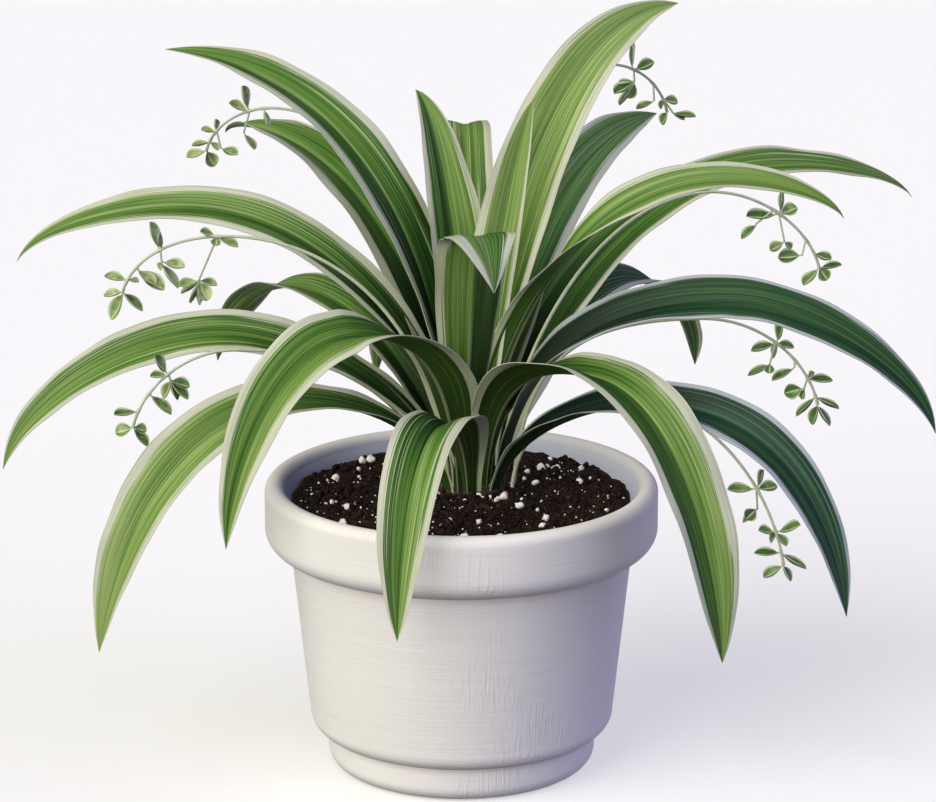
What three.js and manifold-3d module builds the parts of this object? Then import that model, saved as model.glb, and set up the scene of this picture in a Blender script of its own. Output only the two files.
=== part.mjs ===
// A potted spider plant: a rosette of arching, cream-edged leaves and thin runners that carry
// sprigs of small leaflets, standing in soil in a stepped round pot.
// Millimetres, +Z up. The origin is the centre of the pot's foot, and -Y is the front.
import * as THREE from "three";
import { mergeVertices } from "three/addons/utils/BufferGeometryUtils.js";
import Module from "manifold-3d";

const wasm = await Module();
wasm.setup();

// Fit between pieces that stand in each other
const GAP = 0.3;

// Pot
const POT_HEIGHT = 112;
const RIM_RADIUS = 75;
const RIM_BOTTOM = 86.5;
const RIM_UNDER_ROUND = 8;
const LIP_ROUND = 3.8;
const BODY_TOP_RADIUS = 65.4;
const BODY_BOTTOM_RADIUS = 58.3;
const FOOT_RADIUS = 51.3;
const FOOT_HEIGHT = 14;
const FOOT_ROUND = 6;
const WALL = 6;
const FLOOR = 7;
const POT_SIDES = 44;
const ROUND_STEPS = 3;
const LIP_STEPS = 6;

// Soil: it fills the pot to a crumbly surface that rises to the crown. Around the crown it is
// smooth, and by the outer of two distances from the crown its crumbs are at full height.
const CAVITY_RADIUS = 64.5;
const CAVITY_STEP = POT_HEIGHT - 9;
const SOIL_LEVEL = POT_HEIGHT - 7;
const SOIL_RADIUS = 64.3;
const SOIL_MOUND = 3;
const SOIL_RINGS = 6;
const SOIL_SIDES = 30;
const SOIL_ROUGHNESS = 1.1;
const SMOOTH_COLLAR = [2, 10];
const GRAIN_COUNT = 22;
const GRAIN_SIZE = [1, 1.9];
const GRAIN_FROM_EDGE = 5;
const GRAIN_FROM_CROWN = 7;
const GRAIN_SEED = 7;

// Crown: the stump in the soil that the leaves grow from
const CROWN_RADIUS = 14;
const CROWN_DEPTH = 13;
const CROWN_SIDES = 20;
const CROWN_FOOT = 0.7;
const ROOT_DEPTH = 8;
const HOLE_SIDES = 8;
const SLOT_RISE = 1;
const CROWN = new THREE.Vector3(4, 6, SOIL_LEVEL + SOIL_MOUND);

// Leaves: V-folded blades, narrow and steeply folded at the root. The fractions are of the rib's
// length: by WIDE_BY the blade is at its full width, by OPEN_BY its fold has opened, and over
// TURNING its face turns. The fold is flatter where the rib bends in a circle of CURVE_OPEN or less.
const BLADE = 0.8;
const BASE_WIDTH = 4.6;
const TIP_WIDTH = 0.8;
const LEAF_STEPS = 14;
const BASE_FOLD = 38;
const FOLD = 18;
const CURVE_OPEN = 20;
const BEND_REACH = 0.03;
const TAPER = 6.5;
const WIDE_BY = 0.45;
const OPEN_BY = 0.4;
const TURNING = [0.1, 0.6];
const FIRST_RUN = 0.05;
const LAST_RUN = 0.08;

// Each leaf stands in the crown at [radius, angle] and leans along one upright plane, whose
// angle in plan is lean (0 is the right, 90 the back). Its rib climbs to the crest and falls to
// the tip, both [reach, height] from the crown; a leaf with no tip ends at its crest. lift is how
// far up the rib first climbs steeply, and level and over are how much of its run before and
// after the crest stays level. twist turns the face about the rib, at the base and further out.
// A leaf may have its own turning, and its own wide and taper in place of WIDE_BY and TAPER. flap
// is how much of its length narrows straight to its tip.
const LEAVES = [
  { name: "leaf_upper_left", lean: 150, at: [6, 168], crest: [136, 156], width: 28,
    lift: 0.6, level: 0.68, twist: [0, 14] },
  { name: "leaf_back_left_fold", lean: 128, at: [8, 132], crest: [140, 115.5], tip: [161, 110], width: 31,
    lift: 0.5, level: 0.62, twist: [0, 0] },
  { name: "leaf_left_upper", lean: 168, at: [8, 165], crest: [108, 103.5], tip: [179.5, 78.5], width: 20,
    lift: 0.5, level: 0.55, over: 0.45, twist: [10, 45] },
  { name: "leaf_left_back_fold", lean: 140, at: [10.4, 144], crest: [86, 63.4], tip: [132, 26], width: 22,
    lift: 0.4, level: 0.5, twist: [10, -35], turning: [0.5, 0.85] },
  { name: "leaf_left_middle", lean: 184, at: [11, 184], crest: [96, 61], tip: [178, 10], width: 21,
    lift: 0.45, level: 0.42, over: 0.42, twist: [10, 45] },
  { name: "leaf_left_front_arch", lean: 212, at: [9, 228], crest: [56, 66], tip: [108.5, -6.5], width: 29.5,
    lift: 0.65, level: 0.6, twist: [20, 30] },
  { name: "leaf_left_low", lean: 200, at: [12.5, 211], crest: [76, 40], tip: [149, -49], width: 28,
    lift: 0.55, level: 0.5, over: 0.55, wide: 0.5, twist: [10, 40] },
  { name: "leaf_front_arch", lean: 253, at: [12, 262], crest: [52, 37], tip: [99, -30], width: 27,
    lift: 0.6, level: 0.5, over: 0.65, twist: [0, 0] },
  { name: "leaf_centre_fold", lean: 288, at: [8.5, 254], crest: [23, 103.5], tip: [41, 86], width: 31,
    lift: 0.5, level: 0.2, over: 0.3, wide: 0.75, taper: 9, flap: 0.2, twist: [0, 0] },
  { name: "leaf_spike", lean: 115, at: [4, 110], crest: [52, 144], width: 26,
    lift: 0.65, level: 0.35, taper: 5, twist: [0, 0] },
  { name: "leaf_back_fold", lean: 93, at: [6.5, 88], crest: [60, 127.5], tip: [92, 92], width: 22,
    lift: 0.5, level: 0.3, over: 0.3, twist: [0, 0] },
  { name: "leaf_upper_right", lean: 40, at: [4, 38], crest: [104, 174], width: 30,
    lift: 0.55, level: 0.62, twist: [-30, -30] },
  { name: "leaf_upper_right_near", lean: 30, at: [2, 290], crest: [26.5, 148], width: 18,
    lift: 0.4, level: 0.2, twist: [-40, -45] },
  { name: "leaf_right_back", lean: 52.5, at: [8.8, 60], crest: [122, 124], width: 27.8,
    lift: 0.45, level: 0.65, twist: [0, -20] },
  { name: "leaf_right_crest", lean: -6, at: [7, -8], crest: [95, 122], tip: [139, 108], width: 18,
    lift: 0.5, level: 0.5, twist: [-10, -35] },
  { name: "leaf_right_upper", lean: 20, at: [8, 24], crest: [123, 115], tip: [183, 98], width: 22,
    lift: 0.4, level: 0.6, over: 0.42, taper: 5, twist: [0, -30] },
  { name: "leaf_right_back_fold", lean: 48, at: [11, 41], crest: [84, 64], tip: [133, 20.5], width: 25,
    lift: 0.45, level: 0.5, taper: 9, twist: [0, 0] },
  { name: "leaf_right_middle", lean: -8, at: [12, -5], crest: [99, 75.5], tip: [175.5, 27.5], width: 21.5,
    lift: 0.6, level: 0.55, over: 0.36, twist: [-10, -42] },
  { name: "leaf_right_front_arch", lean: 318, at: [8, 312], crest: [61, 54.3], tip: [124, -42.5], width: 29,
    lift: 0.6, level: 0.5, over: 0.6, taper: 8, twist: [-10, -15] },
  { name: "leaf_right_low", lean: 332, at: [12, 330], crest: [88, 42.5], tip: [156, -28], width: 21,
    lift: 0.5, level: 0.5, over: 0.62, twist: [-10, -35] },
  { name: "leaf_rear_right", lean: 70, at: [12, 70], crest: [75, 50], tip: [110, 24], width: 18,
    lift: 0.3, level: 0.5, twist: [0, 0] },
  { name: "leaf_rear", lean: 90, at: [12, 95], crest: [75, 46], tip: [126, -24], width: 19,
    lift: 0.3, level: 0.5, twist: [0, 0] },
  { name: "leaf_rear_left", lean: 108, at: [12, 120], crest: [75, 52], tip: [118, 12], width: 18,
    lift: 0.3, level: 0.5, twist: [0, 0] },
];

// Runners: thin stems that arch out below the leaves, in the same terms, with sprigs at t along
// them. A leaflet is [direction, length, turn]: its direction as seen from the front, where 0 is
// the right and 90 up, and how far its face turns from level to the front. A sprig may have a stalk,
// [direction, length], with leaflets below at its end. Leaflets and stalks stray at random, within
// half of STRAY for each millimetre, to the front or back.
const STEM_RADIUS = 0.85;
const STALK_RADIUS = 0.45;
const STEM_SIDES = 5;
const STEM_STEPS = 24;
const LEAFLET_LENGTH = 9;
const LEAFLET_WIDTH = 5.8;
const LEAFLET_THICKNESS = 0.7;
const LEAFLET_OUTLINE = [[0, 0.12], [0.4, 0.5], [0.75, 0.4], [1, 0.08]];
const LEAFLET_SAG = 0.1;
const LEAFLET_SINK = 0.5;
const STRAY = 0.7;
const RUNNERS = [
  { name: "runner_upper_left", lean: 139, at: [6, 134], crest: [94.9, 132.9], tip: [139.8, 109.9],
    lift: 0.51, level: 0.65, over: 0.49, sprigs: [
      { t: 0.825, leaflets: [[-81, 7.3, 10]] },
      { t: 0.862, leaflets: [[105, 10.7, 20], [158, 8.7, 20]],
        stalk: [-106, 9.6], below: [[-56, 8.2, 15]] },
      { t: 0.955, leaflets: [[173, 6.2, 10], [95, 4.8, 20]], stalk: [-78, 7.4], below: [[-18, 7.7, 30]] },
      { t: 0.981, leaflets: [[-165, 7.6, 5], [-46, 5, 20]] },
      { t: 1, leaflets: [[-161, 8.5, 25], [-66, 7.5, 60]] },
    ] },
  { name: "runner_left", lean: 180, at: [8.8, 188], crest: [92.7, 98], tip: [131.8, 76.3],
    lift: 0.65, level: 0.51, over: 0.6, sprigs: [
      { t: 0.767, leaflets: [[160, 7, 15], [-27, 8.7, 15], [-102, 3.7, 75]],
        stalk: [-113, 19.9],
        below: [[-19, 7.3, 15], [-67, 8.7, 60], [-165, 7.9, 25],
          [-143, 8.7, 0], [-111, 9.8, 0], [-90, 10.4, 5]] },
      { t: 0.884, leaflets: [[110, 11.3, 20], [90, 7.8, 0]],
        stalk: [-86, 5], below: [[-102, 3.7, 30], [-13, 9.1, 25], [-59, 12.1, 10]] },
      { t: 0.944, leaflets: [[-41, 9.7, 20], [-39, 13.4, 30]] },
      { t: 0.974, leaflets: [[175, 9.6, 15], [-11, 4.3, 10]] },
      { t: 1, leaflets: [[-163, 8.1, 15], [-113, 12.6, 35], [-49, 11.1, 10]] },
    ] },
  { name: "runner_left_low", lean: 192, at: [9, 202], crest: [93, 59], tip: [129.9, 31],
    lift: 0.38, level: 0.53, over: 0.5, sprigs: [
      { t: 0.847, leaflets: [[123, 9.1, 25], [-173, 7, 15]],
        stalk: [-75, 2.9], below: [[-24, 8, 25], [-49, 10, 15], [-73, 9.2, 15], [-110, 8.1, 30]] },
      { t: 0.91, leaflets: [[-45, 11.4, 15]] },
      { t: 0.958, leaflets: [[-175, 9.6, 10]] },
      { t: 1, leaflets: [[-158, 7.5, 45], [-53, 9, 20], [-22, 5.4, 35]] },
    ] },
  { name: "runner_upper_right", lean: 47, at: [6.4, 50], crest: [71.4, 152.2], tip: [112.8, 127.6],
    lift: 0.4, level: 0.6, over: 0.49, sprigs: [
      { t: 0.872, leaflets: [[94, 11.2, 5], [19, 8.5, 35]],
        stalk: [-85, 4.8], below: [[-110, 8.1, 75], [-150, 9.7, 30], [-166, 6.7, 10], [-123, 11.4, 5]] },
      { t: 0.934, leaflets: [], stalk: [-87, 6.8], below: [[-153, 7.8, 10]] },
      { t: 0.973, leaflets: [[-18, 6.5, 30], [-100, 4.5, 15]],
        stalk: [-55, 7.3], below: [[-10, 9.4, 5], [-33, 5.9, 15]] },
      { t: 1, leaflets: [[-108, 6.3, 30]] },
    ] },
  { name: "runner_right", lean: 9, at: [9.8, -4], crest: [90.6, 112], tip: [133.7, 80.6],
    lift: 0.42, level: 0.57, over: 0.45, sprigs: [
      { t: 0.855, leaflets: [], stalk: [-143, 8.7], below: [[-132, 8.6, 15]] },
      { t: 0.867, leaflets: [[-178, 12.7, 20], [15, 7.6, 45], [80, 8.5, 5]],
        stalk: [-78, 11.4], below: [[-146, 6.5, 35], [-46, 3.9, 35]] },
      { t: 0.94, leaflets: [], stalk: [-104, 6.6], below: [[-170, 9.4, 45]] },
      { t: 0.97, leaflets: [[-19, 7.3, 30]] },
      { t: 1, leaflets: [[-132, 9.2, 25], [-56, 6.2, 75], [5, 8.9, 5]] },
    ] },
  { name: "runner_right_middle", lean: 2, at: [16, 2], crest: [87.1, 64.9], tip: [131.9, 30.6],
    lift: 0.75, level: 0.69, over: 0.51, sprigs: [
      { t: 0.827, leaflets: [[75, 8.7, 25], [-18, 7.7, 15], [-157, 10.4, 15], [-96, 6.8, 10]],
        stalk: [-105, 8.7], below: [[-95, 4, 75], [-145, 10.4, 0]] },
      { t: 0.885, leaflets: [], stalk: [-90, 3.2], below: [[-147, 10.1, 10]] },
      { t: 0.936, leaflets: [[-11, 10.6, 10], [37, 3.4, 20]],
        stalk: [-103, 5.3], below: [[-165, 7.9, 75], [-100, 4.5, 30]] },
      { t: 0.98, leaflets: [[-29, 10.6, 0], [-132, 10.8, 0]] },
      { t: 1, leaflets: [[-102, 9, 25], [-60, 10.1, 10]] },
    ] },
  { name: "runner_right_low", lean: 340, at: [16, 343], crest: [68.5, 38.7], tip: [123.7, -18.8],
    lift: 0.85, level: 0.32, over: 0.49, sprigs: [
      { t: 0.805, leaflets: [[72, 8, 10], [0, 8.4, 25], [-176, 10.8, 15]],
        stalk: [-85, 9.6], below: [[-139, 6.1, 75], [-130, 8.4, 5]] },
      { t: 0.919, leaflets: [[173, 6.6, 20], [23, 10.1, 15], [-51, 6.7, 25], [-112, 5.2, 15]] },
      { t: 0.969, leaflets: [[-171, 10.5, 5], [-35, 11.8, 0]] },
      { t: 1, leaflets: [[-145, 9, 20], [-66, 7.5, 15]] },
    ] },
];

// Finishes
const POT_FINISH = { color: 0xe4dfd8, roughness: 0.75, metalness: 0 };
const SOIL_FINISH = { color: 0x2a1d16, roughness: 0.95, metalness: 0 };
const CROWN_FINISH = { color: 0xb7bd8c, roughness: 0.6, metalness: 0 };
const LEAF_FINISH = { color: 0x4f8335, roughness: 0.45, metalness: 0 };
const RUNNER_FINISH = { color: 0x8ba062, roughness: 0.5, metalness: 0 };

const radians = THREE.MathUtils.degToRad;
const smoothstep = THREE.MathUtils.smoothstep;
const lerp = THREE.MathUtils.lerp;

// The same draws each time, from a seed
function seededRandom(seed) {
  let state = seed;
  return () => {
    state = (state * 1664525 + 1013904223) % 4294967296;
    return state / 4294967296;
  };
}

// The root of a leaf or stem, from its [radius, angle in degrees] in plan about the crown
function rootAt([radius, angle]) {
  const turn = radians(angle);
  return CROWN.clone().add(new THREE.Vector3(radius * Math.cos(turn), radius * Math.sin(turn), 0));
}

// The level direction across a blade or stem that leans towards an angle in plan
function acrossPlane(lean) {
  return new THREE.Vector3(Math.sin(radians(lean)), -Math.cos(radians(lean)), 0);
}

// The rib of a leaf or the line of a stem, as a path of two Bezier curves that meet at the crest
function archPath({ lean, at, crest, tip, lift, level, over = 0.5 }) {
  const root = rootAt(at);
  const outward = new THREE.Vector3(Math.cos(radians(lean)), Math.sin(radians(lean)), 0);
  const start = root.clone().sub(CROWN).dot(outward);
  const point = (reach, height) =>
    root.clone().addScaledVector(outward, reach - start).setZ(CROWN.z + height);
  const run = crest[0] - start;
  const path = new THREE.CurvePath();
  path.add(new THREE.CubicBezierCurve3(
    root,
    point(start + FIRST_RUN * run, lift * crest[1]),
    point(crest[0] - level * run, crest[1]),
    point(...crest),
  ));
  if (tip) {
    const fall = tip[0] - crest[0];
    path.add(new THREE.CubicBezierCurve3(
      point(...crest),
      point(crest[0] + over * fall, crest[1]),
      point(tip[0] - LAST_RUN * fall, (tip[1] + crest[1]) / 2),
      point(...tip),
    ));
  }
  return path;
}

// Half the blade's width, from its narrow base through the widest part to a long point
function halfWidth({ width, wide = WIDE_BY, taper = TAPER, flap }, t) {
  const swelling = lerp(BASE_WIDTH, width, smoothstep(t, 0, wide));
  const narrowing = Math.min(1 - t ** taper, flap ? (1 - t) / flap : 1);
  return Math.max(swelling * narrowing, TIP_WIDTH) / 2;
}

// How sharply a path bends near t, in radians for each millimetre
function bendAt(path, t) {
  const [before, after] = [Math.max(t - BEND_REACH, 0), Math.min(t + BEND_REACH, 1)];
  const turn = path.getTangent(before).angleTo(path.getTangent(after));
  return turn / ((after - before) * path.getLength());
}

// The sections of a V-folded blade, each three points across its face and three across its back.
// The first section is the root in the crown. margin makes the larger one that the root's slot has.
function leafSections(leaf, margin = 0) {
  const path = archPath(leaf);
  const level = acrossPlane(leaf.lean);
  const sections = [];
  for (let step = -1; step <= LEAF_STEPS; step++) {
    const t = Math.max(step, 0) / LEAF_STEPS;
    const rib = path.getPoint(t);
    const tangent = path.getTangent(t);
    if (step < 0) {
      rib.z -= ROOT_DEPTH + margin;
    }
    const twist = -radians(lerp(...leaf.twist, smoothstep(t, ...(leaf.turning ?? TURNING))));
    const across = level.clone().applyAxisAngle(tangent, twist);
    const up = across.clone().cross(tangent).normalize();
    const opening = 1 + (CURVE_OPEN * bendAt(path, t)) ** 2;
    const fold = radians(lerp(BASE_FOLD, FOLD, smoothstep(t, 0, OPEN_BY)) / opening);
    const half = halfWidth(leaf, t) + margin;
    sections.push([margin, -BLADE - margin].map((layer) => [-1, 0, 1].map((edge) =>
      rib.clone()
        .addScaledVector(across, edge * half * Math.cos(fold))
        .addScaledVector(up, Math.abs(edge) * half * Math.sin(fold) + layer))));
  }
  return sections;
}

// A closed blade through its sections, split into triangles alike on its face and its back
function blade(sections) {
  const points = [];
  const quad = (a, b, c, d) => points.push(a, b, c, a, c, d);
  const mirrored = (a, b, c, d) => points.push(a, c, b, a, d, c);
  const last = sections[0][0].length - 1;
  for (let i = 0; i + 1 < sections.length; i++) {
    const [face, back] = sections[i];
    const [nextFace, nextBack] = sections[i + 1];
    for (let j = 0; j < last; j++) {
      quad(face[j], face[j + 1], nextFace[j + 1], nextFace[j]);
      mirrored(back[j], back[j + 1], nextBack[j + 1], nextBack[j]);
    }
    quad(back[0], face[0], nextFace[0], nextBack[0]);
    quad(face[last], back[last], nextBack[last], nextFace[last]);
  }
  const [face, back] = sections[0];
  const [endFace, endBack] = sections[sections.length - 1];
  for (let j = 0; j < last; j++) {
    quad(face[j], back[j], back[j + 1], face[j + 1]);
    quad(endFace[j], endFace[j + 1], endBack[j + 1], endBack[j]);
  }
  return new THREE.BufferGeometry().setFromPoints(points);
}

// A tube along a path, for the stems and stalks
function tube(path, radius, steps) {
  const section = new THREE.Shape();
  for (let i = 0; i < STEM_SIDES; i++) {
    const turn = (i / STEM_SIDES) * 2 * Math.PI;
    const [x, y] = [radius * Math.cos(turn), radius * Math.sin(turn)];
    if (i === 0) {
      section.moveTo(x, y);
    } else {
      section.lineTo(x, y);
    }
  }
  section.closePath();
  return new THREE.ExtrudeGeometry(section, { extrudePath: path, steps, bevelEnabled: false });
}

function toSolid(geometry) {
  const bare = geometry.index ? geometry.toNonIndexed() : geometry.clone();
  bare.deleteAttribute("normal");
  bare.deleteAttribute("uv");
  const merged = mergeVertices(bare, 1e-4);
  return new wasm.Manifold(new wasm.Mesh({
    numProp: 3,
    vertProperties: new Float32Array(merged.attributes.position.array),
    triVerts: new Uint32Array(merged.index.array),
  }));
}

function toGeometry(solid) {
  const mesh = solid.getMesh();
  const geometry = new THREE.BufferGeometry();
  const vertices = new Float32Array(mesh.vertProperties);
  geometry.setAttribute("position", new THREE.BufferAttribute(vertices, 3));
  geometry.setIndex(new THREE.BufferAttribute(new Uint32Array(mesh.triVerts), 1));
  return geometry;
}

const join = (solids) => solids.reduce((whole, piece) => whole.add(piece));
const wholePiece = (solid) => solid.decompose().sort((a, b) => b.volume() - a.volume())[0];
const cut = (solid, tools) => tools.reduce((whole, tool) => whole.subtract(tool), solid);

// A direction as seen from the front, straying to the back by so much for each millimetre
function seenFromFront(angle, stray = 0) {
  return new THREE.Vector3(Math.cos(radians(angle)), stray, Math.sin(radians(angle))).normalize();
}

// A small oval blade that sags a little between its ends
function leaflet(start, [angle, length, turn], stray) {
  const along = seenFromFront(angle, stray);
  const face = seenFromFront(angle + (Math.abs(angle) > 90 ? -90 : 90))
    .multiplyScalar(Math.cos(radians(turn)))
    .setY(-Math.sin(radians(turn)));
  const across = face.cross(along).normalize();
  const up = along.clone().cross(across);
  const width = LEAFLET_WIDTH * Math.sqrt(length / LEAFLET_LENGTH);
  const sections = LEAFLET_OUTLINE.map(([reach, half]) => {
    const sag = LEAFLET_SAG * length * Math.sin(Math.PI * reach);
    const middle = start.clone().addScaledVector(along, reach * length).addScaledVector(up, -sag);
    return [0.5, -0.5].map((layer) => [1, -1].map((edge) =>
      middle.clone()
        .addScaledVector(across, edge * half * width)
        .addScaledVector(up, layer * LEAFLET_THICKNESS)));
  });
  return toSolid(blade(sections));
}

// A runner: its stem, and at each joint leaflets and perhaps a stalk with more at its end
function runnerSolid(runner, seed) {
  const random = seededRandom(seed);
  const stray = () => (random() - 0.5) * STRAY;
  const path = archPath(runner);
  const root = path.getPoint(0);
  const buried = new THREE.CurvePath();
  buried.add(new THREE.LineCurve3(root.clone().setZ(root.z - ROOT_DEPTH), root));
  path.curves.forEach((curve) => buried.add(curve));
  const pieces = [toSolid(tube(buried, STEM_RADIUS, STEM_STEPS))];
  const addLeaflets = (start, leaflets) =>
    leaflets.forEach((shape) => pieces.push(leaflet(start, shape, stray())));
  for (const { t, leaflets, stalk, below } of runner.sprigs) {
    const joint = path.getPoint(t).addScaledVector(path.getTangent(t), -LEAFLET_SINK);
    addLeaflets(joint, leaflets);
    if (stalk) {
      const [angle, length] = stalk;
      const down = seenFromFront(angle, stray());
      const end = joint.clone().addScaledVector(down, length);
      pieces.push(toSolid(tube(new THREE.LineCurve3(joint, end), STALK_RADIUS, 1)));
      addLeaflets(end.addScaledVector(down, -LEAFLET_SINK), below);
    }
  }
  return join(pieces);
}

// A turned solid from an outline of [radius, height] points that starts and ends on the axis
function turned(outline, sides) {
  const points = outline.map(([radius, height]) => new THREE.Vector2(radius, height));
  return new THREE.LatheGeometry(points, sides).rotateX(Math.PI / 2);
}

// Points of a round edge in an outline, from one angle in degrees to another
function roundEdge([radius, height], size, from, to, steps) {
  return Array.from({ length: steps + 1 }, (_, i) => {
    const turn = radians(lerp(from, to, i / steps));
    return [radius + size * Math.cos(turn), height + size * Math.sin(turn)];
  });
}

function potGeometry() {
  const bodyRound = BODY_BOTTOM_RADIUS - FOOT_RADIUS;
  const footRim = [FOOT_RADIUS - FOOT_ROUND, FOOT_ROUND];
  const bodyFoot = [FOOT_RADIUS, FOOT_HEIGHT + bodyRound];
  const rimFoot = [RIM_RADIUS - RIM_UNDER_ROUND, RIM_BOTTOM + RIM_UNDER_ROUND];
  const lip = [RIM_RADIUS - LIP_ROUND, POT_HEIGHT - LIP_ROUND];
  return turned([
    [0, 0],
    ...roundEdge(footRim, FOOT_ROUND, -90, 0, ROUND_STEPS),
    ...roundEdge(bodyFoot, bodyRound, -90, 0, ROUND_STEPS),
    [BODY_TOP_RADIUS, RIM_BOTTOM],
    ...roundEdge(rimFoot, RIM_UNDER_ROUND, -90, 0, ROUND_STEPS),
    ...roundEdge(lip, LIP_ROUND, 0, 180, LIP_STEPS),
    [CAVITY_RADIUS, CAVITY_STEP],
    [BODY_TOP_RADIUS - WALL, RIM_BOTTOM],
    [FOOT_RADIUS - WALL, FLOOR],
    [0, FLOOR],
  ], POT_SIDES);
}

// Height of the soil's crumbly surface, which rises towards the crown
function soilHeight(x, y) {
  const away = Math.hypot(x - CROWN.x, y - CROWN.y);
  const mound = SOIL_MOUND * (1 - smoothstep(away, CROWN_RADIUS, SOIL_RADIUS));
  const crumbs = Math.sin(0.9 * x + 2.1 * y) + Math.sin(2.3 * x - 1.1 * y + 1);
  const rough = smoothstep(away - CROWN_RADIUS, ...SMOOTH_COLLAR);
  return SOIL_LEVEL + mound + 0.5 * SOIL_ROUGHNESS * crumbs * rough;
}

function soilSolid() {
  const bottom = FLOOR + GAP;
  const outline = [
    [0, bottom],
    [FOOT_RADIUS - WALL - GAP, bottom],
    [BODY_TOP_RADIUS - WALL - GAP, RIM_BOTTOM],
    [CAVITY_RADIUS - GAP, CAVITY_STEP],
  ];
  for (let ring = SOIL_RINGS; ring >= 0; ring--) {
    outline.push([(ring / SOIL_RINGS) * SOIL_RADIUS, SOIL_LEVEL]);
  }
  const geometry = turned(outline, SOIL_SIDES);
  const position = geometry.attributes.position;
  for (let i = 0; i < position.count; i++) {
    if (position.getZ(i) > SOIL_LEVEL - 0.1) {
      position.setZ(i, soilHeight(position.getX(i), position.getY(i)));
    }
  }
  const random = seededRandom(GRAIN_SEED);
  const grains = [];
  while (grains.length < GRAIN_COUNT) {
    const reach = (SOIL_RADIUS - GRAIN_FROM_EDGE) * Math.sqrt(random());
    const turn = 2 * Math.PI * random();
    const [x, y] = [reach * Math.cos(turn), reach * Math.sin(turn)];
    const size = lerp(...GRAIN_SIZE, random());
    if (Math.hypot(x - CROWN.x, y - CROWN.y) > CROWN_RADIUS + GRAIN_FROM_CROWN) {
      const grain = new THREE.IcosahedronGeometry(size);
      grain.rotateX(2 * Math.PI * random()).rotateY(2 * Math.PI * random());
      grains.push(toSolid(grain.translate(x, y, soilHeight(x, y))));
    }
  }
  return join([toSolid(geometry), ...grains]);
}

// The crown, or with a margin the hole that it stands in
function crownSolid(margin = 0) {
  const radius = CROWN_RADIUS + margin;
  const outline = [
    [0, -CROWN_DEPTH - margin],
    [CROWN_FOOT * radius, -CROWN_DEPTH - margin],
    [radius, -ROOT_DEPTH - 2 * GAP],
    [radius, margin > 0 ? CROWN_DEPTH : 0],
    [0, margin > 0 ? CROWN_DEPTH : 0],
  ];
  return toSolid(turned(outline, CROWN_SIDES).translate(CROWN.x, CROWN.y, CROWN.z));
}

// The hole for a runner's root: a plain round one, down from above the soil
function stemHole({ at }) {
  const radius = STEM_RADIUS + 2 * GAP;
  const bottom = -ROOT_DEPTH - GAP;
  const outline = [[0, bottom], [radius, bottom], [radius, CROWN_DEPTH], [0, CROWN_DEPTH]];
  const root = rootAt(at);
  return toSolid(turned(outline, HOLE_SIDES).translate(root.x, root.y, root.z));
}

// The slot in the crown for a leaf's root, which runs out through the crown's top
function rootSlot(leaf) {
  const [bottom, top] = leafSections(leaf, GAP);
  top.flat().forEach((point) => point.setZ(point.z + SLOT_RISE));
  return toSolid(blade([bottom, top]));
}

const stemHoles = RUNNERS.map(stemHole);
const crown = wholePiece(cut(crownSolid(), [...LEAVES.map(rootSlot), ...stemHoles]));
const soil = wholePiece(cut(soilSolid(), [crownSolid(GAP), ...stemHoles]));

const plant = new THREE.Group();
function addPiece(name, geometry, finish) {
  const mesh = new THREE.Mesh(geometry, new THREE.MeshStandardMaterial(finish));
  mesh.name = name;
  plant.add(mesh);
}

addPiece("pot", potGeometry(), POT_FINISH);
addPiece("soil", toGeometry(soil), SOIL_FINISH);
addPiece("crown", toGeometry(crown), CROWN_FINISH);
for (const leaf of LEAVES) {
  addPiece(leaf.name, blade(leafSections(leaf)), LEAF_FINISH);
}
RUNNERS.forEach((runner, i) => {
  addPiece(runner.name, toGeometry(runnerSolid(runner, i + 1)), RUNNER_FINISH);
});

export default plant;
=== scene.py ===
"""The looks of a potted spider plant: cream-edged leaves, runners with sprigs of leaflets,
crumbly soil with perlite in it, and a matte white pot, in the place of the plant's solids.
Lengths are millimetres, as in the solids, and Piece.finish makes them metres."""

import math

import bmesh
import bpy
import numpy as np
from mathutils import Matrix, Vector, noise


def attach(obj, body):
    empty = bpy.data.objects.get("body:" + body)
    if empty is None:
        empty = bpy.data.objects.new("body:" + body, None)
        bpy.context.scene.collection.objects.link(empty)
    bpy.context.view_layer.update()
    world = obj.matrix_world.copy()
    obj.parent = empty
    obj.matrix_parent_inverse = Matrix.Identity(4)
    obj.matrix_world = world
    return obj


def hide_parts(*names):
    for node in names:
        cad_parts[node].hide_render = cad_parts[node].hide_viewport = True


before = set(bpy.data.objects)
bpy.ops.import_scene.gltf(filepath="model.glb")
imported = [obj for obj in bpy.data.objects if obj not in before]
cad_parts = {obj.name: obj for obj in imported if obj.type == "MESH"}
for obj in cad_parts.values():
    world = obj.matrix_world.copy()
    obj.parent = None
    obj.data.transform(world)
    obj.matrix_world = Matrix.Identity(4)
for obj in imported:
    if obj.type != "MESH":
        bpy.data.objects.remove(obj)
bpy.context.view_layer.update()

MM = 0.001
SHARP_ANGLE = 62
# The smallest ring of a turned body, which a face closes
AXIS_RADIUS = 0.5

# Pot, from the foot up; the outline's round edges are arcs of these sizes
POT_HEIGHT = 112
RIM_RADIUS = 75
RIM_BOTTOM = 86.5
RIM_UNDER_ROUND = 8
LIP_ROUND = 3.8
BODY_TOP_RADIUS = 65.4
BODY_BOTTOM_RADIUS = 58.3
FOOT_RADIUS = 51.3
FOOT_HEIGHT = 14
FOOT_ROUND = 6
FOOT_RING = 20
WALL = 6
FLOOR = 7
CAVITY_RADIUS = 64.5
CAVITY_STEP = POT_HEIGHT - 9
POT_SIDES = 192
WALL_STEPS = 14
POT_WAVER = 0.18
POT_WAVES = (40, 40, 26)

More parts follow.
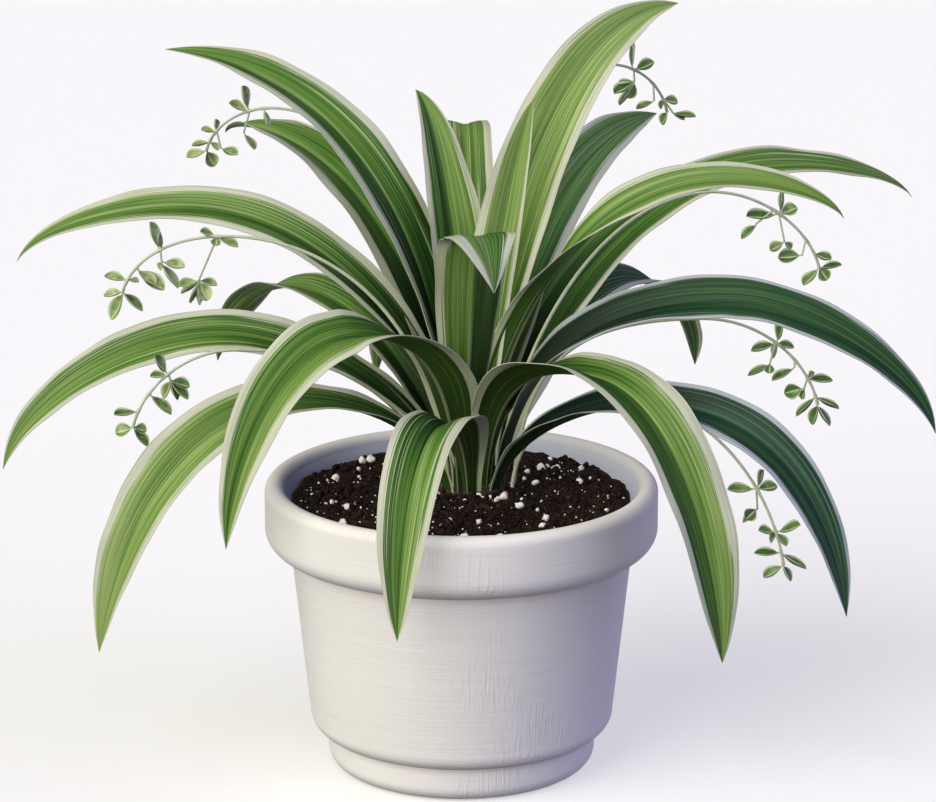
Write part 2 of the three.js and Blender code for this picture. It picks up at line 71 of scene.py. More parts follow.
# Soil. Clumps, lumps and tops have a height, a size and their layer of the noise. The sizes of
# crumbs and grains are the least, the spread above it and how rare large ones are, and those of
# slivers and tiny grains are a range.
GAP = 0.3
SOIL_LEVEL = POT_HEIGHT - 7
SOIL_RADIUS = 64.3
SOIL_MOUND = 3
SOIL_SHOULDER = 3
SOIL_RINGS = 96
SOIL_SIDES = 240
CLUMPS = (1.3, 9, 3.1)
LUMPS = (0.9, 3.4, 8.7)
TOPS = (1.1, 2.6, 1.7)
TOP_MIDDLE = 0.45
CRUMBS = 850
CRUMB_SIZES = (0.45, 1.15, 2.2)
SLIVERS = 70
SLIVER_SIZES = (0.9, 1.5)
SLIVER_STRETCH = (1.9, 0.45, 0.4)
GRAINS = 130
GRAIN_SIZES = (0.4, 1.4, 3.2)
ROUND_GRAIN_SIZE = 0.8
GRAIN_CLUSTERS = 22
CLUSTER_SPREAD = 2.6
TINY_GRAINS = 260
TINY_GRAIN_SIZES = (0.16, 0.38)
RUFFLE_SCALE = 1.1
RUFFLE_SHIFT = 50
UNEVEN = (0.75, 1.15)

# Seeds of the random draws. Each leaf, runner and lump counts on from its own.
SOIL_SEED = 5
PERLITE_SEED = 6
CRUMB_SEED = 1000
SLIVER_SEED = 3000
GRAIN_SEED = 5000
TINY_GRAIN_SEED = 7000
LEAF_SEED = 100
RUNNER_SEED = 1

# Crown
CROWN_RADIUS = 14
CROWN_DEPTH = 13
CROWN_FOOT = 0.7
CROWN_ROUND = 3
CROWN_ROUND_LEVEL = -2.2
CROWN_TOP = 1.0
CROWN_BUMP = 1.2
CROWN_BUMPS = (3, 3, 5)
CROWN_SIDES = 64
CROWN_RINGS = 12
ROOT_DEPTH = 8
CROWN = np.array([4.0, 6.0, SOIL_LEVEL + SOIL_MOUND])

# Leaves. Fractions are of the rib's length. Relief and thickness set in as half the blade's width
# grows from one number of a pair to the other.
FIRST_RUN = 0.05
LAST_RUN = 0.08
LEVEL = 0.5
OVER = 0.5
BASE_WIDTH = 11.5
TIP_WIDTH = 0.3
TIP_FLAP = 0.01
TAPER = 6.5
WIDE_BY = 0.24
BASE_FOLD = 44
FOLD = 24
CURVE_OPEN = 20
OPEN_BY = 0.45
TWIST = [0, 0]
TURNING = [0.1, 0.6]
MARGINS = [1.0, 1.0]
LEAF_STEPS = 80
HALF_COLUMNS = [0.035, 0.09, 0.17, 0.26, 0.35, 0.44, 0.53, 0.62, 0.71, 0.79, 0.87, 0.94, 1.0]
CREASE = 0.05
BULGE = 0.07
PLEATS = 3.5
PLEAT_DEPTH = 0.1
EDGE_WAVE = 0.5
EDGE_WAVE_LENGTHS = ([38, 38, 17, 17], [62, 62, 27, 27])
SHORT_WAVE = 0.4
RELIEF_SETS_IN = (1, 8)
BLADE_MIDDLE = 0.6
BLADE_EDGE = 0.28
BLADE_SETS_IN = (-1.2, 3)
# How much lighter one half of the fold is painted than the other, as if more lit
PAINTED_HALF_LIGHT = 0.5

# Each leaf stands in the crown at [radius, angle] and leans along one upright plane, whose angle
# in plan is lean (0 is the right, 90 the back). Its rib climbs to the crest and falls to the tip,
# both [reach, height] from the crown. lift is how far up it first climbs steeply, and level and
# over are how much of its run before and after the crest stays level. It has its full width from
# wide of its length on. A low taper narrows it early, and flap is the share of its length that
# narrows straight to the tip. twist is the turn of its face at the base and further out, and
# turning is where that changes. tone is how light it is, its shade blue how much of the bluish
# cast of shade is painted on it, and lit how much lighter the half to the right of its run is
# painted, as if more lit. margins are how wide the pale ones are, that half's last, and pale_tip
# is how much wider they grow near the tip. The values above hold for what is left out.
LEAVES = [
    dict(name="leaf_upper_left", lean=150, at=[6, 168], crest=[136, 156],
         width=28, lift=0.6, level=0.68, twist=[0, 14],
         tone=-0.25, lit=0.45, margins=[1.0, 1.1]),
    dict(name="leaf_back_left_fold", lean=128, at=[8, 132], crest=[140, 115.5], tip=[161, 110],
         width=31, lift=0.5, level=0.62,
         tone=-0.1, lit=0.1, margins=[1.4, 0.7]),
    dict(name="leaf_left_upper", lean=168, at=[8, 165], crest=[108, 103.5], tip=[179.5, 78.5],
         width=20, lift=0.5, level=0.55, over=0.45, taper=5, twist=[10, 45],
         tone=0.1, lit=0.35, margins=[1.1, 1.25]),
    dict(name="leaf_left_back_fold", lean=140, at=[10.4, 144], crest=[86, 63.4], tip=[132, 26],
         width=22, lift=0.4, twist=[10, -35], turning=[0.58, 0.92],
         tone=0.1, lit=0.2, margins=[0.7, 0.7]),
    dict(name="leaf_left_middle", lean=184, at=[11, 184], crest=[96, 61], tip=[178, 10],
         width=21, lift=0.45, level=0.42, over=0.42, twist=[10, 45],
         tone=0.35, lit=0.1, margins=[1.15, 1.15]),
    dict(name="leaf_left_front_arch", lean=210, at=[11.5, 243], crest=[57.5, 67], tip=[108.5, -6.5],
         width=29.5, lift=0.75, level=0.6, taper=4.8, twist=[-34, 30], turning=[0.12, 0.65],
         tone=0.2, lit=-0.45, margins=[1.2, 1.25]),
    dict(name="leaf_left_low", lean=200, at=[12.5, 211], crest=[76, 40], tip=[149, -49],
         width=28, lift=0.55, over=0.55, wide=0.75, taper=5.5, twist=[10, 40],
         tone=0.85, lit=0.1, margins=[0.8, 1.2]),
    dict(name="leaf_front_arch", lean=253, at=[12, 262], crest=[52, 37], tip=[99, -30],
         width=26, lift=0.6, over=0.65, taper=5.2,
         tone=0.15, lit=-0.7, margins=[1.3, 1.0]),
    dict(name="leaf_centre_fold", lean=288, at=[8.5, 254], crest=[23, 103.5], tip=[41, 86],
         width=31, lift=0.5, level=0.2, over=0.3, wide=0.75, taper=9, flap=0.2,
         tone=0.1, lit=0.95, margins=[0.2, 0.95], shade_blue=0.2, pale_tip=1.2),
    dict(name="leaf_spike", lean=115, at=[4, 110], crest=[52, 144],
         width=26, lift=0.65, level=0.35, taper=5,
         tone=-0.05, lit=0.7, margins=[1.1, 0.8]),
    dict(name="leaf_back_fold", lean=93, at=[6.5, 88], crest=[60, 127.5], tip=[92, 92],
         width=22, lift=0.5, level=0.3, over=0.3,
         tone=0.3, lit=0.1, margins=[1.0, 1.2]),
    dict(name="leaf_upper_right", lean=40, at=[4, 38], crest=[104, 174],
         width=30, lift=0.55, level=0.62, wide=0.4, twist=[-10, -30],
         tone=0.9, lit=0.1, margins=[0.9, 1.05]),
    dict(name="leaf_upper_right_near", lean=30, at=[2, 290], crest=[26.5, 148],
         width=18, lift=0.4, level=0.2, twist=[-40, -45],
         tone=0.7, lit=0.05, margins=[0.7, 0.8]),
    dict(name="leaf_right_back", lean=52.5, at=[8.8, 60], crest=[122, 124],
         width=27.8, lift=0.45, level=0.65, twist=[0, -20],
         tone=0.15, lit=-0.1, margins=[0.7, 1.25], shade_blue=0.6),
    dict(name="leaf_right_crest", lean=-4, at=[6, 320], crest=[95, 122], tip=[139, 108],
         width=18, lift=0.62, twist=[58, -35], turning=[0.25, 0.62],
         tone=0.3, lit=-0.2, margins=[1.2, 0.9]),
    dict(name="leaf_right_upper", lean=20, at=[8, 24], crest=[123, 115], tip=[183, 98],
         width=22, lift=0.4, level=0.6, over=0.42, taper=5, twist=[-62, -30],
         tone=0.05, lit=0.15, margins=[0.6, 0.9], shade_blue=0.1),
    dict(name="leaf_right_back_fold", lean=48, at=[11, 41], crest=[84, 64], tip=[133, 20.5],
         width=25, lift=0.45, taper=9, twist=[-30, -10],
         tone=-0.6, lit=0.0, margins=[0.4, 1.6], shade_blue=1.0),
    dict(name="leaf_right_middle", lean=-8, at=[12, -5], crest=[99, 75.5], tip=[175.5, 27.5],
         width=21.5, lift=0.7, level=0.55, over=0.36, twist=[-10, -42],
         tone=-0.65, lit=-0.1, margins=[0.8, 0.7], shade_blue=0.8),
    dict(name="leaf_right_front_arch", lean=318, at=[8, 312], crest=[61, 54.3], tip=[124, -42.5],
         width=29, lift=0.8, level=0.55, over=0.6, taper=8, twist=[17, -15], turning=[0.1, 0.66],
         tone=0.1, lit=-1.0, margins=[1.3, 1.0]),
    dict(name="leaf_right_low", lean=332, at=[12, 330], crest=[88, 42.5], tip=[156, -28],
         width=21, lift=0.5, over=0.62, twist=[-10, -35],
         tone=-0.85, lit=0.0, margins=[0.7, 0.9], shade_blue=1.0),
    dict(name="leaf_rear_right", lean=70, at=[12, 70], crest=[75, 50], tip=[110, 24],
         width=18, lift=0.3,
         tone=-0.2, lit=0.1, shade_blue=0.4),
    dict(name="leaf_rear", lean=90, at=[12, 95], crest=[75, 46], tip=[126, -24],
         width=19, lift=0.3,
         tone=0.1, lit=0.2),
    dict(name="leaf_rear_left", lean=108, at=[12, 120], crest=[75, 52], tip=[118, 12],
         width=18, lift=0.3,
         tone=0.0, lit=-0.2),
]

# Runners: thin stems in the same terms, with sprigs. A sprig is how far along the stem it is, its
# leaflets, and perhaps a stalk, [direction, length], and the leaflets at its end. A leaflet is
# [direction, length, turn]: its direction as seen from the front, where 0 is the right and 90 up,
# and how far its face turns from level to the front. Leaflets and stalks stray at random to the
# front or back, and each leaflet is lighter or darker at random than its runner's tone.
STEM_RADIUS = 0.75
STEM_END_RADIUS = 0.5
STEM_THINS = (0.3, 1)
ASKEW = [0.13, 0.31, 0.94]
STALK_RADIUS = 0.4
STEM_SIDES = 10
STEM_STEPS = 90
STALK_STEPS = 5
JOINT_SWELL = 0.4
JOINT_LENGTH = 1.6
LEAFLET_LENGTH = 9
LEAFLET_WIDTH = 6.6
LEAFLET_THICKNESS = 0.35
LEAFLET_EDGE_THINS = 0.45
LEAFLET_TIP_HALF = 0.12
LEAFLET_ROWS = 18
LEAFLET_COLUMNS = 11
LEAFLET_SAG = 0.1
LEAFLET_SINK = 0.5
LEAFLET_CUP = 0.5
LEAFLET_CUP_POWER = 1.4
OVAL_LEAN = 1.2
OVAL_ROUND = 0.62
PETIOLE = 0.14
PETIOLE_WIDTH = 0.65
PETIOLE_GREENS = (0.6, 1.6)
STRAY = 0.7
TONE_SPREAD = (-0.6, 0.9)
RUNNERS = [
    dict(name="runner_upper_left", lean=139, at=[6, 134], crest=[94.9, 132.9], tip=[139.8, 109.9],
         lift=0.51, level=0.65, over=0.49, tone=1.1, sprigs=[
             (0.825, [[-81, 7.3, 10]]),
             (0.862, [[105, 10.7, 20], [158, 8.7, 20]], [-106, 9.6], [[-56, 8.2, 15]]),
             (0.955, [[173, 6.2, 10], [95, 4.8, 20]], [-78, 7.4], [[-18, 7.7, 30]]),
             (0.981, [[-165, 7.6, 5], [-46, 5, 20]]),
             (1, [[-161, 8.5, 25], [-66, 7.5, 60]]),
         ]),
    dict(name="runner_left", lean=180, at=[8.8, 188], crest=[92.7, 98], tip=[131.8, 76.3],
         lift=0.65, level=0.51, over=0.6, tone=1.1, sprigs=[
             (0.767, [[160, 7, 15], [-27, 8.7, 15], [-102, 3.7, 75]], [-113, 19.9],
              [[-19, 7.3, 15], [-67, 8.7, 60], [-165, 7.9, 25],
               [-143, 8.7, 0], [-111, 9.8, 0], [-90, 10.4, 5]]),
             (0.884, [[110, 11.3, 20], [90, 7.8, 0]],
              [-86, 5], [[-102, 3.7, 30], [-13, 9.1, 25], [-59, 12.1, 10]]),
             (0.944, [[-41, 9.7, 20], [-39, 13.4, 30]]),
             (0.974, [[175, 9.6, 15], [-11, 4.3, 10]]),
             (1, [[-163, 8.1, 15], [-113, 12.6, 35], [-49, 11.1, 10]]),
         ]),
    dict(name="runner_left_low", lean=192, at=[9, 202], crest=[93, 59], tip=[129.9, 31],
         lift=0.38, level=0.53, over=0.5, tone=0.1, sprigs=[
             (0.847, [[123, 9.1, 25], [-173, 7, 15]], [-75, 2.9],
              [[-24, 8, 25], [-49, 10, 15], [-73, 9.2, 15], [-110, 8.1, 30]]),
             (0.91, [[-45, 11.4, 15]]),
             (0.958, [[-175, 9.6, 10]]),
             (1, [[-158, 7.5, 45], [-53, 9, 20], [-22, 5.4, 35]]),
         ]),
    dict(name="runner_upper_right", lean=47, at=[6.4, 50], crest=[71.4, 152.2], tip=[112.8, 127.6],
         lift=0.4, level=0.6, over=0.49, tone=-0.8, sprigs=[
             (0.872, [[94, 11.2, 5], [19, 8.5, 35]], [-85, 4.8],
              [[-110, 8.1, 75], [-150, 9.7, 30], [-166, 6.7, 10], [-123, 11.4, 5]]),
             (0.934, [], [-87, 6.8], [[-153, 7.8, 10]]),
             (0.973, [[-18, 6.5, 30], [-100, 4.5, 15]],
              [-55, 7.3], [[-10, 9.4, 5], [-33, 5.9, 15]]),
             (1, [[-108, 6.3, 30]]),
         ]),
    dict(name="runner_right", lean=9, at=[9.8, -4], crest=[90.6, 112], tip=[133.7, 80.6],
         lift=0.42, level=0.57, over=0.45, tone=-0.5, sprigs=[
             (0.855, [], [-143, 8.7], [[-132, 8.6, 15]]),
             (0.867, [[-178, 12.7, 20], [15, 7.6, 45], [80, 8.5, 5]],
              [-78, 11.4], [[-146, 6.5, 35], [-46, 3.9, 35]]),
             (0.94, [], [-104, 6.6], [[-170, 9.4, 45]]),
             (0.97, [[-19, 7.3, 30]]),
             (1, [[-132, 9.2, 25], [-56, 6.2, 75], [5, 8.9, 5]]),
         ]),
    dict(name="runner_right_middle", lean=2, at=[16, 2], crest=[87.1, 64.9], tip=[131.9, 30.6],
         lift=0.75, level=0.69, over=0.51, tone=-0.9, sprigs=[
             (0.827, [[75, 8.7, 25], [-18, 7.7, 15], [-157, 10.4, 15], [-96, 6.8, 10]],
              [-105, 8.7], [[-95, 4, 75], [-145, 10.4, 0]]),
             (0.885, [], [-90, 3.2], [[-147, 10.1, 10]]),
             (0.936, [[-11, 10.6, 10], [37, 3.4, 20]],
              [-103, 5.3], [[-165, 7.9, 75], [-100, 4.5, 30]]),
             (0.98, [[-29, 10.6, 0], [-132, 10.8, 0]]),
             (1, [[-102, 9, 25], [-60, 10.1, 10]]),
         ]),
    dict(name="runner_right_low", lean=340, at=[16, 343], crest=[68.5, 38.7], tip=[123.7, -18.8],
         lift=0.85, level=0.32, over=0.49, tone=-0.7, sprigs=[
             (0.805, [[72, 8, 10], [0, 8.4, 25], [-176, 10.8, 15]],
              [-85, 9.6], [[-139, 6.1, 75], [-130, 8.4, 5]]),
             (0.919, [[173, 6.6, 20], [23, 10.1, 15], [-51, 6.7, 25], [-112, 5.2, 15]]),
             (0.969, [[-171, 10.5, 5], [-35, 11.8, 0]]),
             (1, [[-145, 9, 20], [-66, 7.5, 15]]),
         ]),
]

# Colours, linear
DEEP_GREEN = (0.006, 0.022, 0.004)
DARK_GREEN = (0.02, 0.062, 0.009)
MID_GREEN = (0.063, 0.143, 0.02)
LIGHT_GREEN = (0.163, 0.25, 0.063)
LIME = (0.32, 0.39, 0.158)
# Painted shade: the bluish green of shaded leaves
SHADE_BLUE_DEEP = (0.005, 0.02, 0.011)
SHADE_BLUE_GREEN = (0.022, 0.07, 0.038)
CREAM = (0.44, 0.45, 0.35)
# Painted shade: the lavender grey of shaded margins
SHADE_BLUE_CREAM = (0.28, 0.3, 0.34)
WASHED_CREAM = (0.27, 0.31, 0.2)
PALE_LINE = (0.45, 0.49, 0.34)
OLIVE = (0.045, 0.078, 0.01)
SHEATH = (0.28, 0.32, 0.17)
POT_WHITE = (0.66, 0.642, 0.615)
POT_DUST = (0.55, 0.533, 0.505)
# Painted shade: the lavender of the pot's shaded inside
POT_INSIDE_SHADE = (0.38, 0.41, 0.52)
# Painted shade under the rim and at the foot
CORNER_SHADE = (0.43, 0.34, 0.33)
SOIL_DARK = (0.002, 0.0015, 0.001)
SOIL_BROWN = (0.008, 0.004, 0.003)
SOIL_RED = (0.05, 0.022, 0.014)
SOIL_CHIP = (0.11, 0.06, 0.042)
PERLITE_WHITE = (0.72, 0.71, 0.67)
PERLITE_SHADE = (0.55, 0.53, 0.48)
FLOOR_WHITE = (0.86, 0.86, 0.86)
FLOOR_SHADE = (0.8, 0.8, 0.8)

# Streaks along a leaf: how many go across half of it, how long they are, a shift that sets them
# apart from the others, and their detail
STREAKS = {
    "broad": (2.6, 110, 0, 1.0),
    "fine": (10, 70, 9, 2.0),
    "hair": (26, 55, 17, 1.0),
    "dark lines": (19, 220, 53, 1.0),
    "dark gaps": (4, 40, 61, 1.0),
    "pale lines": (21, 420, 31, 1.0),
    "pale gaps": (5, 45, 37, 1.0),
    "ragged edge": (24, 75, 43, 2.0),
    "washed edge": (16, 60, 71, 2.0),
}

# Looks of the leaves: shares of 1, and the length of the margins' waves
LEAF_SHIFT = 97.0
LEAF_LIGHT = 0.45
BROAD_SWING = 0.5
FINE_SWING = 0.5
HAIR_SWING = 0.7
TONE_SWING = 0.25
CREASE_SHADE = -0.1
BASE_SHADE = -0.4
TIP_SHADE = 0.08
# Darker towards the base: partly its darker green and partly painted shade of the crown, less of it
# beneath
BASE_DARK_AND_SHADE = (0.16, 0.24, 0.08)
UNDER_SHADE_LIFT = 0.4
UNDER_OLIVE = 0.42
# How much of the painted lavender shade stays on the margins beneath
UNDER_SHADE_BLUE = 0.3
UNDER_SHEATH = 0.55
BASE_SHEATH = 0.6
# How much of the painted bluish shade a leaf gets for each unit of its shade blue
SHADE_BLUE_SHARE = 0.9
DARK_LINE_SHARE = 0.6
# A painted highlight along the keel beneath, towards the base
KEEL_HIGHLIGHT = 0.35
MARGIN_SHARES = (0.27, 0.19)
MARGIN_WAVE = 38
MARGIN_RAGGED = 0.42
PALE_TIP_FROM = (0.7, 0.85)
WASHED_SHARE = 0.7

# Looks of the sprigs
SPRIG_SHIFT = 61.0
SPRIG_LIGHT = 0.46
VEIN_SWING = 0.8
BLOTCH_SWING = 0.8
LEAFLET_TONE_SWING = 0.2
LEAFLET_PALE_SHARE = 0.85
LEAFLET_OLIVE = 0.3

# Patterns on the pot, soil, crown and floor: waves in each metre, or along x, y and z
ROUND_STROKES = (22, 22, 1100)
WIDE_STROKES = (9, 9, 260)
DOWN_STROKES = (900, 900, 45)
POT_PATCHES = 16
POT_GRAIN = 2600
SOIL_PATCHES = 70
SOIL_CRUMBS = 620
SOIL_SPECKS = 900
SOIL_CHIPS = 1900
PERLITE_PITS = 1700
PERLITE_DIRT = 420
CROWN_STREAKS = (300, 300, 60)
FLOOR_CLOUDS = 3
WORN_SHARE = 0.4

# Light
KEY_COLOUR = (1.0, 0.97, 0.86)
KEY_STRENGTH = 1.75
KEY_ANGLE = 55
KEY_FROM = (-0.58, -0.58, 0.6)
LIFT_STRENGTH = 2.75
FILL_COLOUR = (0.54, 0.52, 1.0)
FILL_STRENGTH = 1.7
FILL_ANGLE = 70
FILL_FROM = (0.85, -0.3, 0.3)
WORLD_COLOUR = (0.8, 0.82, 1.0)
WORLD_STRENGTH = 0.22

# Camera and floor
FLOOR_SIZE = 14
CAMERA_PLACE = (2.5, -1538, 584)
CAMERA_TARGET = (2.5, 0, 143)
CAMERA_LENS = 162.5


def smoothstep(value, low, high):
    share = np.clip((np.asarray(value, float) - low) / (high - low), 0, 1)
    return share * share * (3 - 2 * share)


def lerp(low, high, share):
    return low + (high - low) * share


def unit(vectors):
    return vectors / np.linalg.norm(vectors, axis=-1, keepdims=True)


def seeded_random(seed):
    """Draws from 0 to 1, the same as the solids use, so that the leaflets stay in place"""
    state = seed
    while True:
        state = (state * 1664525 + 1013904223) % 4294967296
        yield state / 4294967296


class Shader:
    """A material's nodes, made by plain calls that take and give sockets or values"""

    def __init__(self, name):
        self.material = bpy.data.materials.new(name)
        self.material.use_nodes = True
        self.tree = self.material.node_tree
        self.tree.nodes.clear()

    def node(self, kind, inputs, **settings):
        made = self.tree.nodes.new("ShaderNode" + kind)
        for key, value in settings.items():
            setattr(made, key, value)
        for key, value in inputs.items():
            if isinstance(value, bpy.types.NodeSocket):
                self.tree.links.new(value, made.inputs[key])
            elif isinstance(value, tuple) and made.inputs[key].type == "RGBA":
                made.inputs[key].default_value = (*value, 1)
            else:
                made.inputs[key].default_value = value
        return made

    def math(self, operation, *values):
        return self.node("Math", dict(enumerate(values)), operation=operation).outputs[0]

    def add(self, *values):
        total = values[0]
        for value in values[1:]:
            total = self.math("ADD", total, value)
        return total

    def times(self, *values):
        product = values[0]
        for value in values[1:]:
            product = self.math("MULTIPLY", product, value)
        return product

    def swing(self, pattern, share):
        """A pattern that goes from 0 to 1, about 0 instead and made weaker"""
        return self.times(self.add(pattern, -0.5), share)

    def between(self, value, low, high, start=0.0, end=1.0):
        """Goes smoothly from start to end as the value goes from low to high"""
        inputs = {"Value": value, "From Min": low, "From Max": high, "To Min": start, "To Max": end}
        return self.node("MapRange", inputs, interpolation_type="SMOOTHSTEP").outputs[0]

    def mix(self, share, a, b, blend="MIX"):
        inputs = {0: share, 6: a, 7: b}
        return self.node("Mix", inputs, data_type="RGBA", blend_type=blend).outputs[2]

    def ramp(self, value, stops):
        made = self.node("ValToRGB", {0: value})
        elements = made.color_ramp.elements
        for place, colour in stops[2:]:
            elements.new(place).color = (*colour, 1)
        for element, (place, colour) in zip(sorted(elements, key=lambda e: e.position), sorted(stops)):
            element.position = place
            element.color = (*colour, 1)
        return made.outputs[0]

    def vector(self, x, y, z):
        return self.node("CombineXYZ", {0: x, 1: y, 2: z}).outputs[0]

    def parts(self, vector):
        return list(self.node("SeparateXYZ", {0: vector}).outputs)

    def stored(self, name):
        """The three values kept at each point under a name"""
        found = self.node("Attribute", {}, attribute_name=name)
        return self.parts(found.outputs["Vector"])

    def place(self, scale):
        """The place on the piece, stretched by one number or by one for each axis"""
        scale = scale if isinstance(scale, tuple) else (scale,) * 3
        here = self.node("TexCoord", {}).outputs["Object"]
        return self.node("Mapping", {"Vector": here, "Scale": scale}).outputs[0]

    def noise(self, vector, detail=2.0, roughness=0.5):
        inputs = {"Vector": vector, "Scale": 1.0, "Detail": detail, "Roughness": roughness}
        return self.node("TexNoise", inputs).outputs[0]

    def cells(self, vector):
        return self.node("TexVoronoi", {"Vector": vector, "Scale": 1.0}).outputs[0]

    def finish(self, colour, roughness, height, depth, strength, **settings):
        """The surface, with a relief whose height from 0 to 1 stands for depth millimetres"""
        relief = {"Height": height, "Distance": depth * MM, "Strength": strength}
        inputs = {
            "Base Color": colour,
            "Roughness": roughness,
            "Normal": self.node("Bump", relief).outputs[0],
            **{key.replace("_", " "): value for key, value in settings.items()},
        }
        surface = self.node("BsdfPrincipled", inputs).outputs[0]
        self.node("OutputMaterial", {0: surface})
        return self.material


def leaf_material():
    """Streaks that run along the blade and meet at its tip, inside cream margins, and painted light
    and shade
    """
    s = Shader("leaf")
    u, along, t = s.stored("blade")
    seed, tone, under = s.stored("leaf")
    edge, shade_blue, pale_tip = s.stored("margin")
    away = s.math("ABSOLUTE", u)
    start = s.times(seed, LEAF_SHIFT)

    def streaks(kind):
        across, length, shift, detail = STREAKS[kind]
        lines = s.vector(s.times(u, across), s.times(along, 1 / length), s.add(start, shift))
        return s.noise(lines, detail=detail)

    fine = streaks("fine")
    hair = streaks("hair")
    # Lightness from streaks and tone, with painted light and shade: the half of the fold lit more is
    # lighter, the crease shaded and the base darker
    light = s.add(
        LEAF_LIGHT,
        s.swing(streaks("broad"), BROAD_SWING),
        s.swing(fine, FINE_SWING),
        s.swing(hair, HAIR_SWING),
        s.times(tone, TONE_SWING),
        s.between(away, 0.0, 0.06, CREASE_SHADE, 0.0),
        s.between(t, 0.0, 0.7, BASE_SHADE, TIP_SHADE),
    )
    green = s.ramp(light, [
        (0.1, DEEP_GREEN), (1.0, LIME), (0.3, DARK_GREEN), (0.5, MID_GREEN), (0.75, LIGHT_GREEN),
    ])
    # Painted shade: the bluish green that shaded leaves are given
    shade_bluish = s.mix(s.between(light, 0.1, 0.6), SHADE_BLUE_DEEP, SHADE_BLUE_GREEN)
    green = s.mix(s.times(shade_blue, SHADE_BLUE_SHARE), green, shade_bluish)

    dark_lines = s.times(
        s.between(streaks("dark lines"), 0.58, 0.68),
        s.between(streaks("dark gaps"), 0.35, 0.6),
        DARK_LINE_SHARE,
    )
    pale_lines = s.times(
        s.between(streaks("pale lines"), 0.59, 0.66),
        s.between(streaks("pale gaps"), 0.4, 0.62, 0.1, 1.0),
        s.between(away, 0.1, 0.5, 0.4, 1.0),
        s.between(t, 0.0, 0.5, 0.3, 0.6),
    )
    green = s.mix(dark_lines, green, DARK_GREEN)
    green = s.mix(s.times(under, UNDER_OLIVE), green, OLIVE)
    # Darker towards the base, partly its darker green and partly painted shade of the crown, less of
    # it beneath
    lows = [s.add(low, s.times(under, UNDER_SHADE_LIFT)) for low in BASE_DARK_AND_SHADE]
    base_dark_and_shade = s.vector(*[s.between(t, 0.02, 0.55, low, 1.0) for low in lows])
    green = s.mix(1.0, green, base_dark_and_shade, "MULTIPLY")
    # Pale lines, with painted lavender shade on the bluish-shaded leaves
    line_colour = s.mix(shade_blue, s.mix(s.times(under, 0.5), PALE_LINE, SHEATH), SHADE_BLUE_CREAM)
    green = s.mix(pale_lines, green, line_colour)
    # Painted highlight along the keel beneath, towards the base
    keel_highlight = s.times(under, s.between(away, 0.1, 0.03), s.between(t, 0.6, 0.3), KEEL_HIGHLIGHT)
    green = s.mix(keel_highlight, green, line_colour)

    half = s.between(u, -0.1, 0.1, 0, 5)
    waver = s.noise(s.vector(half, s.times(along, 1 / MARGIN_WAVE), start))
    edge = s.add(edge, s.times(pale_tip, s.between(t, *PALE_TIP_FROM)))
    width = s.times(edge, s.between(waver, 0.2, 0.8, *MARGIN_SHARES))
    ragged = s.swing(streaks("ragged edge"), MARGIN_RAGGED)
    margin = s.between(s.add(away, width, ragged), 0.98, 1.03)
    washed = s.between(streaks("washed edge"), 0.4, 0.75, 0.0, WASHED_SHARE)
    cream = s.mix(washed, CREAM, WASHED_CREAM)
    # Painted shade: lavender margins on the bluish-shaded leaves, less of it beneath
    cream = s.mix(s.times(shade_blue, s.between(under, 0.0, 1.0, 1.0, UNDER_SHADE_BLUE)), cream, SHADE_BLUE_CREAM)
    sheathed = s.between(t, 0.35, 0.0, 0.0, BASE_SHEATH)
    sheathed = s.math("MAXIMUM", sheathed, s.times(under, UNDER_SHEATH))
    cream = s.mix(sheathed, cream, SHEATH)
    colour = s.mix(s.math("MAXIMUM", margin, s.between(away, 0.95, 0.98)), green, cream)

    height = s.add(s.times(fine, 0.6), s.times(hair, 0.4))
    roughness = s.between(fine, 0.3, 0.7, 0.45, 0.58)
    return s.finish(colour, roughness, height, depth=0.25, strength=0.5, Specular_IOR_Level=0.12)


def sprig_material():
    """Pale green stems, and green leaflets with pale edges and a pale midrib"""
    s = Shader("sprig")
    u, along, kind = s.stored("blade")
    seed, tone, under = s.stored("leaf")
    away = s.math("ABSOLUTE", u)
    start = s.times(seed, SPRIG_SHIFT)
    veins = s.noise(s.vector(s.times(u, 7), s.times(along, 0.5), start))
    blotch = s.noise(s.vector(s.times(u, 1.5), s.times(along, 0.3), s.add(start, 5.0)), detail=1.0)
    light = s.add(
        SPRIG_LIGHT,
        s.swing(veins, VEIN_SWING),
        s.swing(blotch, BLOTCH_SWING),
        s.times(tone, LEAFLET_TONE_SWING),
    )
    green = s.ramp(light, [(0.1, DARK_GREEN), (0.95, LIME), (0.45, MID_GREEN), (0.7, LIGHT_GREEN)])
    pale = s.math("MAXIMUM", s.between(away, 0.7, 0.88), s.between(away, 0.14, 0.05))
    green = s.mix(s.times(pale, LEAFLET_PALE_SHARE), green, PALE_LINE)
    green = s.mix(s.times(under, LEAFLET_OLIVE), green, OLIVE)
    stem_shade = s.noise(s.vector(s.times(u, 3), s.times(along, 0.25), start))
    stem = s.mix(s.between(stem_shade, 0.25, 0.6), SHEATH, PALE_LINE)
    colour = s.mix(kind, stem, green)
    roughness = s.between(veins, 0.3, 0.7, 0.42, 0.55)
    return s.finish(colour, roughness, veins, depth=0.15, strength=0.5)


